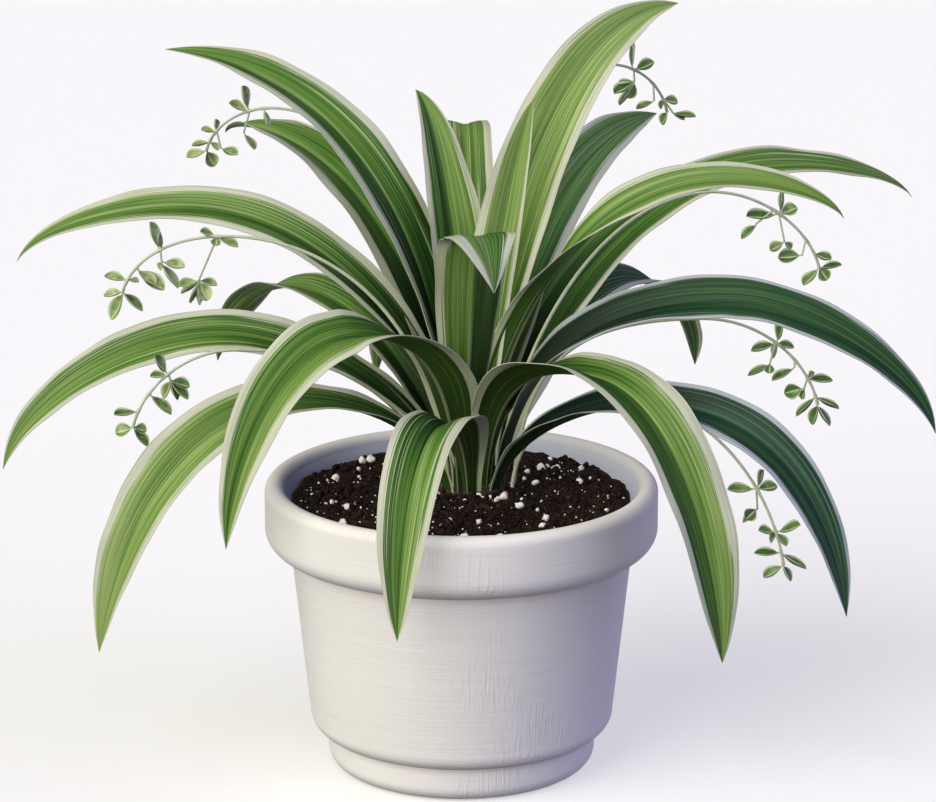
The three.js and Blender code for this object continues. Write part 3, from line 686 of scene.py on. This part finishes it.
def pot_material():
    """Matte off-white with fine brush strokes round it and some down its side, painted shade in its
    corners and a painted lavender shade inside
    """
    s = Shader("pot")
    round_strokes = s.noise(s.place(ROUND_STROKES), detail=3.0, roughness=0.6)
    wide_strokes = s.noise(s.place(WIDE_STROKES))
    down_strokes = s.noise(s.place(DOWN_STROKES))
    patches = s.noise(s.place(POT_PATCHES))
    grain = s.noise(s.place(POT_GRAIN))
    down = s.times(s.between(patches, 0.5, 0.62), s.between(down_strokes, 0.45, 0.65))
    worn = s.add(
        s.times(s.between(round_strokes, 0.3, 0.7), 0.35),
        s.times(s.between(wide_strokes, 0.3, 0.7), 0.25),
        s.times(down, 0.12),
        s.times(grain, 0.12),
    )
    colour = s.mix(s.times(worn, WORN_SHARE), POT_WHITE, POT_DUST)
    x, y, z = s.parts(s.place(1 / MM))

    def corner(level, below, above):
        """Where painted shade lies in the corner at a level, and so far below and above it"""
        return s.times(s.between(z, level - below, level), s.between(z, level + above, level))

    radius = s.math("SQRT", s.add(s.times(x, x), s.times(y, y)))
    # Painted lavender shade on the inside of the lip and on the wall below it
    inside_shade = s.times(
        s.between(radius, CAVITY_RADIUS + 1, CAVITY_RADIUS + 6, 1.0, 0.0),
        s.between(z, RIM_BOTTOM, CAVITY_STEP),
    )
    colour = s.mix(inside_shade, colour, POT_INSIDE_SHADE)
    # Painted shade under the rim and where the body meets the foot, in patches
    corners = s.add(corner(RIM_BOTTOM, 5, 5), corner(FOOT_HEIGHT, 3, 4))
    corner_shade = s.times(corners, s.between(patches, 0.2, 0.7, 0.3, 0.7))
    colour = s.mix(corner_shade, colour, CORNER_SHADE)
    height = s.add(
        s.times(round_strokes, 0.55),
        s.times(wide_strokes, 0.3),
        s.times(down, 0.5),
        s.times(grain, 0.15),
    )
    roughness = s.between(round_strokes, 0.3, 0.7, 0.62, 0.78)
    return s.finish(colour, roughness, height, depth=0.3, strength=0.65, Specular_IOR_Level=0.3)


def soil_material():
    """Near-black crumbs with red-brown ones among them"""
    s = Shader("soil")
    patches = s.noise(s.place(SOIL_PATCHES), detail=3.0)
    crumbs = s.noise(s.place(SOIL_CRUMBS), detail=3.0, roughness=0.65)
    specks = s.cells(s.place(SOIL_SPECKS))
    light = s.add(s.times(patches, 0.45), s.times(crumbs, 0.95), -0.2)
    colour = s.ramp(light, [(0.36, SOIL_DARK), (0.78, SOIL_RED), (0.56, SOIL_BROWN)])
    chips = s.noise(s.place(SOIL_CHIPS), detail=1.0)
    colour = s.mix(s.times(s.between(chips, 0.6, 0.68), 0.8), colour, SOIL_CHIP)
    height = s.add(s.times(crumbs, 0.8), s.times(specks, 0.4))
    roughness = s.between(crumbs, 0.3, 0.7, 0.75, 1.0)
    return s.finish(colour, roughness, height, depth=0.8, strength=0.9, Specular_IOR_Level=0.1)


def perlite_material():
    """White puffed grains, pitted and a little dirty"""
    s = Shader("perlite")
    pits = s.cells(s.place(PERLITE_PITS))
    dirt = s.noise(s.place(PERLITE_DIRT), detail=3.0)
    colour = s.mix(s.between(dirt, 0.5, 0.75), PERLITE_WHITE, PERLITE_SHADE)
    roughness = s.between(pits, 0.0, 0.7, 0.9, 0.7)
    return s.finish(colour, roughness, pits, depth=0.25, strength=0.6)


def crown_material():
    """Pale green sheaths in the middle and earth round them"""
    s = Shader("crown")
    away = s.stored("blade")[0]
    streak = s.noise(s.place(CROWN_STREAKS), detail=3.0)
    sheath = s.ramp(streak, [(0.3, OLIVE), (0.75, SHEATH), (0.5, LIGHT_GREEN)])
    earth = s.ramp(streak, [(0.3, SOIL_DARK), (0.75, SOIL_RED)])
    colour = s.mix(s.between(s.add(away, s.times(streak, 0.3)), 0.85, 0.5), earth, sheath)
    return s.finish(colour, 0.8, streak, depth=0.6, strength=0.7)


def floor_material():
    """Plain, pale and matte"""
    s = Shader("floor")
    cloud = s.noise(s.place(FLOOR_CLOUDS), detail=1.0)
    tint = s.mix(s.times(cloud, 0.04), FLOOR_WHITE, FLOOR_SHADE)
    return s.finish(tint, 0.9, cloud, depth=0.1, strength=0.1, Specular_IOR_Level=0.1)


class Piece:
    """A piece of the plant, gathered from closed shells, with values at its points"""

    def __init__(self, name):
        self.name = name
        self.points = []
        self.faces = []
        self.values = {}
        self.count = 0

    def add(self, points, faces, **values):
        points = np.asarray(points, float).reshape(-1, 3)
        self.points.append(points)
        for group in faces:
            self.faces.extend((np.asarray(group) + self.count).tolist())
        for key, rows in values.items():
            rows = np.broadcast_to(np.asarray(rows, float), points.shape)
            self.values.setdefault(key, []).append(rows)
        self.count += len(points)

    def finish(self, material, slot, *nodes):
        mesh = bpy.data.meshes.new(self.name)
        mesh.from_pydata((np.concatenate(self.points) * MM).tolist(), [], self.faces)
        for key, rows in self.values.items():
            attribute = mesh.attributes.new(key, "FLOAT_VECTOR", "POINT")
            attribute.data.foreach_set("vector", np.concatenate(rows).astype(np.float32).ravel())
        mesh.shade_smooth()
        mesh.set_sharp_from_angle(angle=math.radians(SHARP_ANGLE))
        mesh.materials.append(material)
        piece = bpy.data.objects.new(self.name, mesh)
        bpy.context.collection.objects.link(piece)
        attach(piece, "root")
        if nodes:
            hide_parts(*nodes)
        return piece


def joined(*corners):
    """Faces from arrays that each hold one corner of them all"""
    return np.stack([np.ravel(corner) for corner in corners], -1)


def slab(face, back):
    """The points and faces of a closed sheet between two grids of points"""
    rows, columns = face.shape[:2]
    top = np.arange(rows * columns).reshape(rows, columns)
    low = top + rows * columns
    faces = [
        joined(top[:-1, :-1], top[:-1, 1:], top[1:, 1:], top[1:, :-1]),
        joined(low[:-1, :-1], low[1:, :-1], low[1:, 1:], low[:-1, 1:]),
        joined(low[:-1, 0], top[:-1, 0], top[1:, 0], low[1:, 0]),
        joined(top[:-1, -1], low[:-1, -1], low[1:, -1], top[1:, -1]),
        joined(top[0, :-1], low[0, :-1], low[0, 1:], top[0, 1:]),
        joined(top[-1, :-1], top[-1, 1:], low[-1, 1:], low[-1, :-1]),
    ]
    return np.concatenate([face.reshape(-1, 3), back.reshape(-1, 3)]), faces


def rings(grid):
    """The points and faces of a closed body through rings of points, from first to last"""
    count, sides = grid.shape[:2]
    index = np.arange(count * sides).reshape(count, sides)
    beside = np.roll(index, -1, axis=1)
    faces = [
        joined(index[:-1], beside[:-1], beside[1:], index[1:]),
        index[:1, ::-1],
        index[-1:],
    ]
    return grid.reshape(-1, 3), faces


def bezier(corners, count=240):
    t = np.linspace(0, 1, count)[:, None]
    a, b, c, d = (np.asarray(corner) for corner in corners)
    return (1 - t) ** 3 * a + 3 * (1 - t) ** 2 * t * b + 3 * (1 - t) * t * t * c + t**3 * d


def wavy_noise(grid, lengths):
    """Smooth noise at each point of a grid, with waves of these lengths along x, y and z"""
    return np.array([[noise.noise(Vector(point / lengths)) for point in row] for row in grid])


class Arch:
    """The rib of a leaf or the line of a stem: two Bezier curves that meet at the crest"""

    def __init__(self, plan):
        turn = math.radians(plan["lean"])
        radius, angle = plan["at"]
        angle = math.radians(angle)
        self.outward = np.array([math.cos(turn), math.sin(turn), 0])
        self.level = np.array([math.sin(turn), -math.cos(turn), 0])
        self.root = CROWN + radius * np.array([math.cos(angle), math.sin(angle), 0])
        start = (self.root - CROWN) @ self.outward

        def point(reach, height):
            place = self.root + self.outward * (reach - start)
            place[2] = CROWN[2] + height
            return place

        crest = plan["crest"]
        run = crest[0] - start
        self.line = bezier([
            self.root,
            point(start + FIRST_RUN * run, plan["lift"] * crest[1]),
            point(crest[0] - plan.get("level", LEVEL) * run, crest[1]),
            point(*crest),
        ])
        if "tip" in plan:
            tip = plan["tip"]
            fall = tip[0] - crest[0]
            second = bezier([
                point(*crest),
                point(crest[0] + plan.get("over", OVER) * fall, crest[1]),
                point(tip[0] - LAST_RUN * fall, (tip[1] + crest[1]) / 2),
                point(*tip),
            ])
            self.line = np.concatenate([self.line, second[1:]])
        steps = np.linalg.norm(np.diff(self.line, axis=0), axis=1)
        self.travel = np.concatenate([[0], np.cumsum(steps)])
        self.length = self.travel[-1]

    def point(self, t):
        place = np.asarray(t) * self.length
        return np.stack([np.interp(place, self.travel, axis) for axis in self.line.T], -1)

    def tangent(self, t, reach=0.004):
        t = np.asarray(t)
        return unit(self.point(np.minimum(t + reach, 1)) - self.point(np.maximum(t - reach, 0)))


def both_sides(first, second, third, third_below=None):
    """Three values at each point of a slab's face, and again at each of its back"""
    below = third if third_below is None else third_below
    sides = [np.stack(np.broadcast_arrays(first, second, last), -1) for last in (third, below)]
    return np.concatenate([side.reshape(-1, 3) for side in sides])


def leaf_piece(leaf, seed, material):
    """A V-folded blade with convex halves, thin wavy edges and its root in the crown"""
    arch = Arch(leaf)
    draws = np.random.default_rng(seed)
    t = np.concatenate([[0], np.linspace(0, 1, LEAF_STEPS + 1)])
    rib = arch.point(t)
    rib[0, 2] -= ROOT_DEPTH
    tangent = arch.tangent(t)

    turned = smoothstep(t, *leaf.get("turning", TURNING))
    twist = -np.radians(lerp(*leaf.get("twist", TWIST), turned))[:, None]
    upright = np.cross(tangent, arch.level)
    across = arch.level * np.cos(twist) + upright * np.sin(twist)
    up = unit(np.cross(across, tangent))

    swelling = lerp(BASE_WIDTH, leaf["width"], smoothstep(t, 0, leaf.get("wide", WIDE_BY)))
    narrowing = np.minimum(1 - t ** leaf.get("taper", TAPER), (1 - t) / leaf.get("flap", TIP_FLAP))
    width = np.maximum(swelling * narrowing, TIP_WIDTH)
    half = width[:, None] / 2
    bend = np.linalg.norm(np.gradient(tangent[1:], arch.length / LEAF_STEPS, axis=0), axis=1)
    bend = np.concatenate([bend[:1], bend])
    fold = lerp(BASE_FOLD, FOLD, smoothstep(t, 0, OPEN_BY)) / (1 + (CURVE_OPEN * bend) ** 2)
    fold = np.radians(fold)[:, None]

    u = np.array([-x for x in reversed(HALF_COLUMNS)] + [0.0] + HALF_COLUMNS)[None, :]
    away = np.abs(u)
    travel = (t * arch.length)[:, None]
    phases = draws.uniform(0, 2 * math.pi, 4)
    lengths = draws.uniform(*EDGE_WAVE_LENGTHS)
    waves = np.sin(2 * math.pi * travel / lengths + phases)
    pair = waves[:, :2] + SHORT_WAVE * waves[:, 2:]
    wave = np.where(u < 0, pair[:, :1], pair[:, 1:])

    ridge = np.sqrt(away**2 + CREASE**2) - CREASE
    rise = half * (np.sin(fold) * ridge + BULGE * np.sin(math.pi * away))
    full = smoothstep(half, *RELIEF_SETS_IN)
    rise += full * PLEAT_DEPTH * np.cos(2 * math.pi * PLEATS * away) * (1 - away)
    rise += full * EDGE_WAVE * away**3 * wave
    side = half * np.cos(fold) * u
    thick = lerp(BLADE_MIDDLE, BLADE_EDGE, away) * smoothstep(half, *BLADE_SETS_IN)

    face = rib[:, None] + across[:, None] * side[..., None] + up[:, None] * rise[..., None]
    back = face - up[:, None] * thick[..., None]
    points, faces = slab(face, back)
    here = np.clip(u / HALF_COLUMNS[0], -1, 1)
    # Painted light: the half of the fold that is lit more is lighter than the other
    tone = leaf["tone"] + PAINTED_HALF_LIGHT * leaf["lit"] * here
    margin = lerp(*leaf.get("margins", MARGINS), (1 + here) / 2)
    piece = Piece(leaf["name"] + "_blade")
    piece.add(
        points,
        faces,
        blade=both_sides(u, travel, t[:, None]),
        leaf=both_sides(draws.uniform(), tone + 0 * travel, 0, 1),
        margin=both_sides(margin + 0 * travel, leaf.get("shade_blue", 0), leaf.get("pale_tip", 0)),
    )
    return piece.finish(material, "leaf", leaf["name"])


def add_tube(piece, line, radii, facts):
    """A round stem along a line of points"""
    tangent = unit(np.gradient(line, axis=0))
    first = unit(np.cross(tangent, ASKEW))
    second = np.cross(tangent, first)
    turn = np.linspace(0, 2 * math.pi, STEM_SIDES, endpoint=False)
    ring = first[:, None] * np.cos(turn)[None, :, None] + second[:, None] * np.sin(turn)[None, :, None]
    grid = line[:, None] + ring * np.asarray(radii)[:, None, None]
    points, faces = rings(grid)
    travel = np.concatenate([[0], np.cumsum(np.linalg.norm(np.diff(line, axis=0), axis=1))])
    blade = np.stack(np.broadcast_arrays(np.sin(turn)[None], travel[:, None], 0.0), -1)
    piece.add(points, faces, blade=blade.reshape(-1, 3), leaf=facts)


def seen_from_front(angle, stray=0.0):
    """A direction as seen from the front, straying to the back by so much for each millimetre"""
    turn = math.radians(angle)
    return unit(np.array([math.cos(turn), stray, math.sin(turn)]))


def add_leaflet(piece, start, shape, stray, facts):
    """A small cupped oval blade on a short stalk, which sags a little between its ends"""
    angle, length, turn = shape
    along = seen_from_front(angle, stray)
    face = seen_from_front(angle + (-90 if abs(angle) > 90 else 90)) * math.cos(math.radians(turn))
    face[1] = -math.sin(math.radians(turn))
    across = unit(np.cross(face, along))
    up = np.cross(along, across)
    r = np.linspace(0, 1, LEAFLET_ROWS)[:, None]
    u = np.linspace(-1, 1, LEAFLET_COLUMNS)[None, :]
    opened = np.clip((r - PETIOLE) / (1 - PETIOLE), 0, 1)
    wide = LEAFLET_WIDTH * math.sqrt(length / LEAFLET_LENGTH)
    oval = np.sin(math.pi * opened**OVAL_LEAN) ** OVAL_ROUND * wide / 2
    half = np.maximum(oval, lerp(PETIOLE_WIDTH / 2, LEAFLET_TIP_HALF, r))
    cup = LEAFLET_CUP * half * np.abs(u) ** LEAFLET_CUP_POWER
    sag = LEAFLET_SAG * length * np.sin(math.pi * r)
    sheet = (
        start
        + along * (r * length * np.ones_like(u))[..., None]
        + across * (u * half)[..., None]
        + up * (cup - sag)[..., None]
    )
    thick = LEAFLET_THICKNESS * (1 - LEAFLET_EDGE_THINS * np.abs(u)) * np.ones_like(r)
    points, faces = slab(sheet[:, ::-1], (sheet - up * thick[..., None])[:, ::-1])
    kind = smoothstep(r, *(PETIOLE * share for share in PETIOLE_GREENS))
    seed, tone, _ = facts
    piece.add(
        points,
        faces,
        blade=both_sides(u[:, ::-1], r * length, kind),
        leaf=both_sides(seed, tone + 0 * u * r, 0, 1),
    )


def runner_piece(runner, seed, material):
    """A stem, with leaflets at each joint and perhaps a stalk with more of them at its end"""
    place = seeded_random(seed)
    looks = np.random.default_rng(seed)

    def stray():
        return (next(place) - 0.5) * STRAY

    def facts():
        return np.array([looks.uniform(), looks.uniform(*TONE_SPREAD) + runner["tone"], 0])

    arch = Arch(runner)
    piece = Piece(runner["name"] + "_sprigs")
    t = np.linspace(0, 1, STEM_STEPS)
    line = np.concatenate([[arch.root - [0, 0, ROOT_DEPTH]], arch.point(t)])
    joints = np.array([sprig[0] for sprig in runner["sprigs"]])
    near = np.exp(-(((t[:, None] - joints) * arch.length / JOINT_LENGTH) ** 2)).sum(1)
    radii = lerp(STEM_RADIUS, STEM_END_RADIUS, smoothstep(t, *STEM_THINS))
    radii = np.concatenate([[STEM_RADIUS], radii * (1 + JOINT_SWELL * near)])
    add_tube(piece, line, radii, facts())

    def add_leaflets(start, leaflets):
        for shape in leaflets:
            add_leaflet(piece, start, shape, stray(), facts())

    for joint_t, leaflets, *hanging in runner["sprigs"]:
        joint = arch.point(joint_t) - arch.tangent(joint_t) * LEAFLET_SINK
        add_leaflets(joint, leaflets)
        if hanging:
            (angle, length), below = hanging
            down = seen_from_front(angle, stray())
            stalk = joint + down * np.linspace(0, length, STALK_STEPS + 1)[:, None]
            add_tube(piece, stalk, np.full(len(stalk), STALK_RADIUS), facts())
            add_leaflets(joint + down * (length - LEAFLET_SINK), below)
    return piece.finish(material, "runner", runner["name"])


def arc(centre, size, start, end, steps=10):
    """Points of a round edge in an outline, from one angle in degrees to another"""
    turns = np.radians(np.linspace(start, end, steps + 1))
    return [(centre[0] + size * math.cos(a), centre[1] + size * math.sin(a)) for a in turns]


def straight(start, end, steps=WALL_STEPS):
    """Points between two others in an outline, without those two"""
    shares = np.arange(1, steps) / steps
    return [(lerp(start[0], end[0], s), lerp(start[1], end[1], s)) for s in shares]


def turned(outline, sides):
    """Rings of points round the axis from [radius, height] points, going up outside"""
    turn = np.linspace(0, 2 * math.pi, sides, endpoint=False)
    radius, height = np.array(outline, float).T
    x = radius[:, None] * np.cos(turn)
    y = radius[:, None] * np.sin(turn)
    return np.stack([x, y, np.broadcast_to(height[:, None], x.shape)], -1)


def pot_piece(material):
    body_round = BODY_BOTTOM_RADIUS - FOOT_RADIUS
    foot = arc((FOOT_RADIUS - FOOT_ROUND, FOOT_ROUND), FOOT_ROUND, -90, 0)
    shoulder = arc((FOOT_RADIUS, FOOT_HEIGHT + body_round), body_round, -90, 0)
    under_rim = (BODY_TOP_RADIUS, RIM_BOTTOM)
    rim_foot = (RIM_RADIUS - RIM_UNDER_ROUND, RIM_BOTTOM + RIM_UNDER_ROUND)
    rim = arc(rim_foot, RIM_UNDER_ROUND, -90, 0)
    lip = arc((RIM_RADIUS - LIP_ROUND, POT_HEIGHT - LIP_ROUND), LIP_ROUND, 0, 180, 20)
    inside_foot = (FOOT_RADIUS - WALL, FLOOR)
    outline = [
        (AXIS_RADIUS, 0), (FOOT_RING, 0), *foot, *straight(foot[-1], shoulder[0], 4), *shoulder,
        *straight(shoulder[-1], under_rim), under_rim, *rim, *straight(rim[-1], lip[0], 6), *lip,
        (CAVITY_RADIUS, CAVITY_STEP), (BODY_TOP_RADIUS - WALL, RIM_BOTTOM),
        *straight((BODY_TOP_RADIUS - WALL, RIM_BOTTOM), inside_foot, 5), inside_foot,
        (AXIS_RADIUS, FLOOR),
    ]
    grid = turned(outline, POT_SIDES)
    waver = POT_WAVER * (0.5 + wavy_noise(grid, POT_WAVES))
    grid[..., :2] *= 1 - waver[..., None] / RIM_RADIUS
    piece = Piece("pot_body")
    piece.add(*rings(grid))
    return piece.finish(material, "pot", "pot")


def soil_height(x, y):
    """Height of the soil's surface: a low mound to the crown, with clumps and crumbs on it"""
    away = math.hypot(x - CROWN[0], y - CROWN[1])
    mound = SOIL_MOUND * (1 - smoothstep(away, CROWN_RADIUS, SOIL_RADIUS))
    kinds = (CLUMPS, LUMPS, TOPS)
    clump, lump, top = (Vector((x / size, y / size, layer)) for _, size, layer in kinds)
    tops = TOPS[0] * (TOP_MIDDLE - noise.voronoi(top)[0][0])
    return SOIL_LEVEL + mound + CLUMPS[0] * noise.noise(clump) + LUMPS[0] * noise.noise(lump) + tops


def add_lump(piece, x, y, size, seed, rise, smooth=False, stretch=(1, 1, 1), ruffle=0.5):
    """An irregular rounded grain, with its middle at a rise above the soil's surface"""
    points, faces = ROUND_GRAIN if smooth else ROUGH_GRAIN
    draws = np.random.default_rng(seed)
    shift = draws.uniform(0, RUFFLE_SHIFT, 3)
    swell = np.array([noise.noise(Vector(p * RUFFLE_SCALE + shift)) for p in points])
    shaped = points * (1 + ruffle * swell[:, None]) * size * np.array(stretch)
    shaped *= draws.uniform(*UNEVEN, 3)
    axes, _ = np.linalg.qr(draws.normal(size=(3, 3)))
    axes *= np.sign(np.linalg.det(axes))
    piece.add(shaped @ axes.T + [x, y, soil_height(x, y) + rise], faces)


def ball(subdivisions):
    """The points and triangles of a round ball of radius 1"""
    made = bmesh.new()
    bmesh.ops.create_icosphere(made, subdivisions=subdivisions, radius=1)
    points = np.array([v.co for v in made.verts])
    faces = np.array([[v.index for v in f.verts] for f in made.faces])
    made.free()
    return points, [faces]


ROUGH_GRAIN = ball(2)
ROUND_GRAIN = ball(3)


def random_size(draws, least, spread, rarity):
    """A size between least and least + spread, where large ones are rarer"""
    return least + spread * draws.uniform() ** rarity


def scattered(draws, from_edge):
    """A random place on the soil, clear of the crown"""
    while True:
        radius = (SOIL_RADIUS - from_edge) * math.sqrt(draws.uniform())
        turn = draws.uniform(0, 2 * math.pi)
        x, y = radius * math.cos(turn), radius * math.sin(turn)
        if math.hypot(x - CROWN[0], y - CROWN[1]) > CROWN_RADIUS - 1:
            return x, y


def soil_piece(material):
    """The soil's filling of the pot with its crumbly top, and loose crumbs and bark slivers on it"""
    bottom = FLOOR + GAP
    outline = [
        (AXIS_RADIUS, bottom), (FOOT_RADIUS - WALL - GAP, bottom),
        (BODY_TOP_RADIUS - WALL - GAP, RIM_BOTTOM),
        (CAVITY_RADIUS - GAP, CAVITY_STEP - SOIL_SHOULDER),
        *[(SOIL_RADIUS * ring / SOIL_RINGS, SOIL_LEVEL) for ring in range(SOIL_RINGS, 0, -1)],
    ]
    grid = turned(outline, SOIL_SIDES)
    top = grid[-SOIL_RINGS:]
    top[..., 2] = [[soil_height(x, y) for x, y, _ in ring] for ring in top]
    piece = Piece("soil_filling")
    piece.add(*rings(grid))
    draws = np.random.default_rng(SOIL_SEED)
    for i in range(CRUMBS):
        x, y = scattered(draws, from_edge=1.5)
        size = random_size(draws, *CRUMB_SIZES)
        add_lump(piece, x, y, size, CRUMB_SEED + i, rise=0.25 * size)
    for i in range(SLIVERS):
        x, y = scattered(draws, from_edge=4)
        size = draws.uniform(*SLIVER_SIZES)
        add_lump(piece, x, y, size, SLIVER_SEED + i, rise=0.4, stretch=SLIVER_STRETCH)
    return piece.finish(material, "soil", "soil")


def perlite_piece(material):
    """White grains in and on the soil, every other one in a small cluster, and tiny ones"""
    draws = np.random.default_rng(PERLITE_SEED)
    centres = [scattered(draws, from_edge=4) for _ in range(GRAIN_CLUSTERS)]
    piece = Piece("perlite_grains")
    for i in range(GRAINS):
        x, y = scattered(draws, from_edge=3)
        if i % 2:
            cx, cy = centres[draws.integers(GRAIN_CLUSTERS)]
            x, y = cx + draws.normal(0, CLUSTER_SPREAD), cy + draws.normal(0, CLUSTER_SPREAD)
        if math.hypot(x, y) > SOIL_RADIUS - 2:
            continue
        size = random_size(draws, *GRAIN_SIZES)
        smooth = size > ROUND_GRAIN_SIZE
        add_lump(piece, x, y, size, GRAIN_SEED + i, rise=0.5 * size, smooth=smooth, ruffle=0.32)
    for i in range(TINY_GRAINS):
        x, y = scattered(draws, from_edge=2)
        size = draws.uniform(*TINY_GRAIN_SIZES)
        add_lump(piece, x, y, size, TINY_GRAIN_SEED + i, rise=0.2)
    return piece.finish(material, "soil")


def crown_piece(material):
    """The stump that the leaves stand in, with its lumpy top"""
    edge_round = CROWN_RADIUS - CROWN_ROUND
    outline = [
        (AXIS_RADIUS, -CROWN_DEPTH), (CROWN_FOOT * CROWN_RADIUS, -CROWN_DEPTH),
        (CROWN_RADIUS, -ROOT_DEPTH), *arc((edge_round, CROWN_ROUND_LEVEL), CROWN_ROUND, 0, 80, 6),
        *[(radius, CROWN_TOP) for radius in np.linspace(edge_round - 1, AXIS_RADIUS, CROWN_RINGS)],
    ]
    grid = turned(outline, CROWN_SIDES)
    away = np.hypot(grid[..., 0], grid[..., 1]) / CROWN_RADIUS
    bumps = CROWN_BUMP * wavy_noise(grid, CROWN_BUMPS)
    grid[..., 2] += np.where(grid[..., 2] > -CROWN_ROUND, bumps, 0)
    piece = Piece("crown_stump")
    piece.add(*rings(grid + CROWN), blade=away.reshape(-1, 1))
    return piece.finish(material, "crown", "crown")


def aim(thing, place, target):
    """Puts a camera or a light at a place and turns it to a target"""
    thing.location = Vector(place)
    thing.rotation_euler = (Vector(target) - Vector(place)).to_track_quat("-Z", "Y").to_euler()


def add_floor(material):
    bpy.ops.mesh.primitive_plane_add(size=FLOOR_SIZE)
    floor = bpy.context.object
    floor.name = "floor"
    floor.data.materials.append(material)
    floor.visible_diffuse = False


def add_sun(name, colour, strength, angle, place, shadow=True):
    sun = bpy.data.objects.new(name, bpy.data.lights.new(name, "SUN"))
    bpy.context.collection.objects.link(sun)
    sun.data.energy = strength
    sun.data.color = colour
    sun.data.angle = math.radians(angle)
    sun.data.use_shadow = shadow
    aim(sun, place, (0, 0, 0))


def add_light():
    add_sun("key", KEY_COLOUR, KEY_STRENGTH, KEY_ANGLE, KEY_FROM)
    add_sun("lift", KEY_COLOUR, LIFT_STRENGTH, KEY_ANGLE, KEY_FROM, shadow=False)
    add_sun("fill", FILL_COLOUR, FILL_STRENGTH, FILL_ANGLE, FILL_FROM)
    world = bpy.data.worlds.new("studio")
    bpy.context.scene.world = world
    world.use_nodes = True
    background = world.node_tree.nodes["Background"]
    background.inputs["Color"].default_value = (*WORLD_COLOUR, 1)
    background.inputs["Strength"].default_value = WORLD_STRENGTH


def add_camera():
    camera = bpy.data.objects.new("camera", bpy.data.cameras.new("camera"))
    bpy.context.collection.objects.link(camera)
    aim(camera, Vector(CAMERA_PLACE) * MM, Vector(CAMERA_TARGET) * MM)
    camera.data.lens = CAMERA_LENS
    bpy.context.scene.camera = camera


pot_piece(pot_material())
soil_piece(soil_material())
perlite_piece(perlite_material())
crown_piece(crown_material())
green = leaf_material()
for i, leaf in enumerate(LEAVES):
    leaf_piece(leaf, LEAF_SEED + i, green)
sprig = sprig_material()
for i, runner in enumerate(RUNNERS):
    runner_piece(runner, RUNNER_SEED + i, sprig)
add_floor(floor_material())
add_light()
add_camera()
bpy.context.scene.view_settings.view_transform = "Standard"
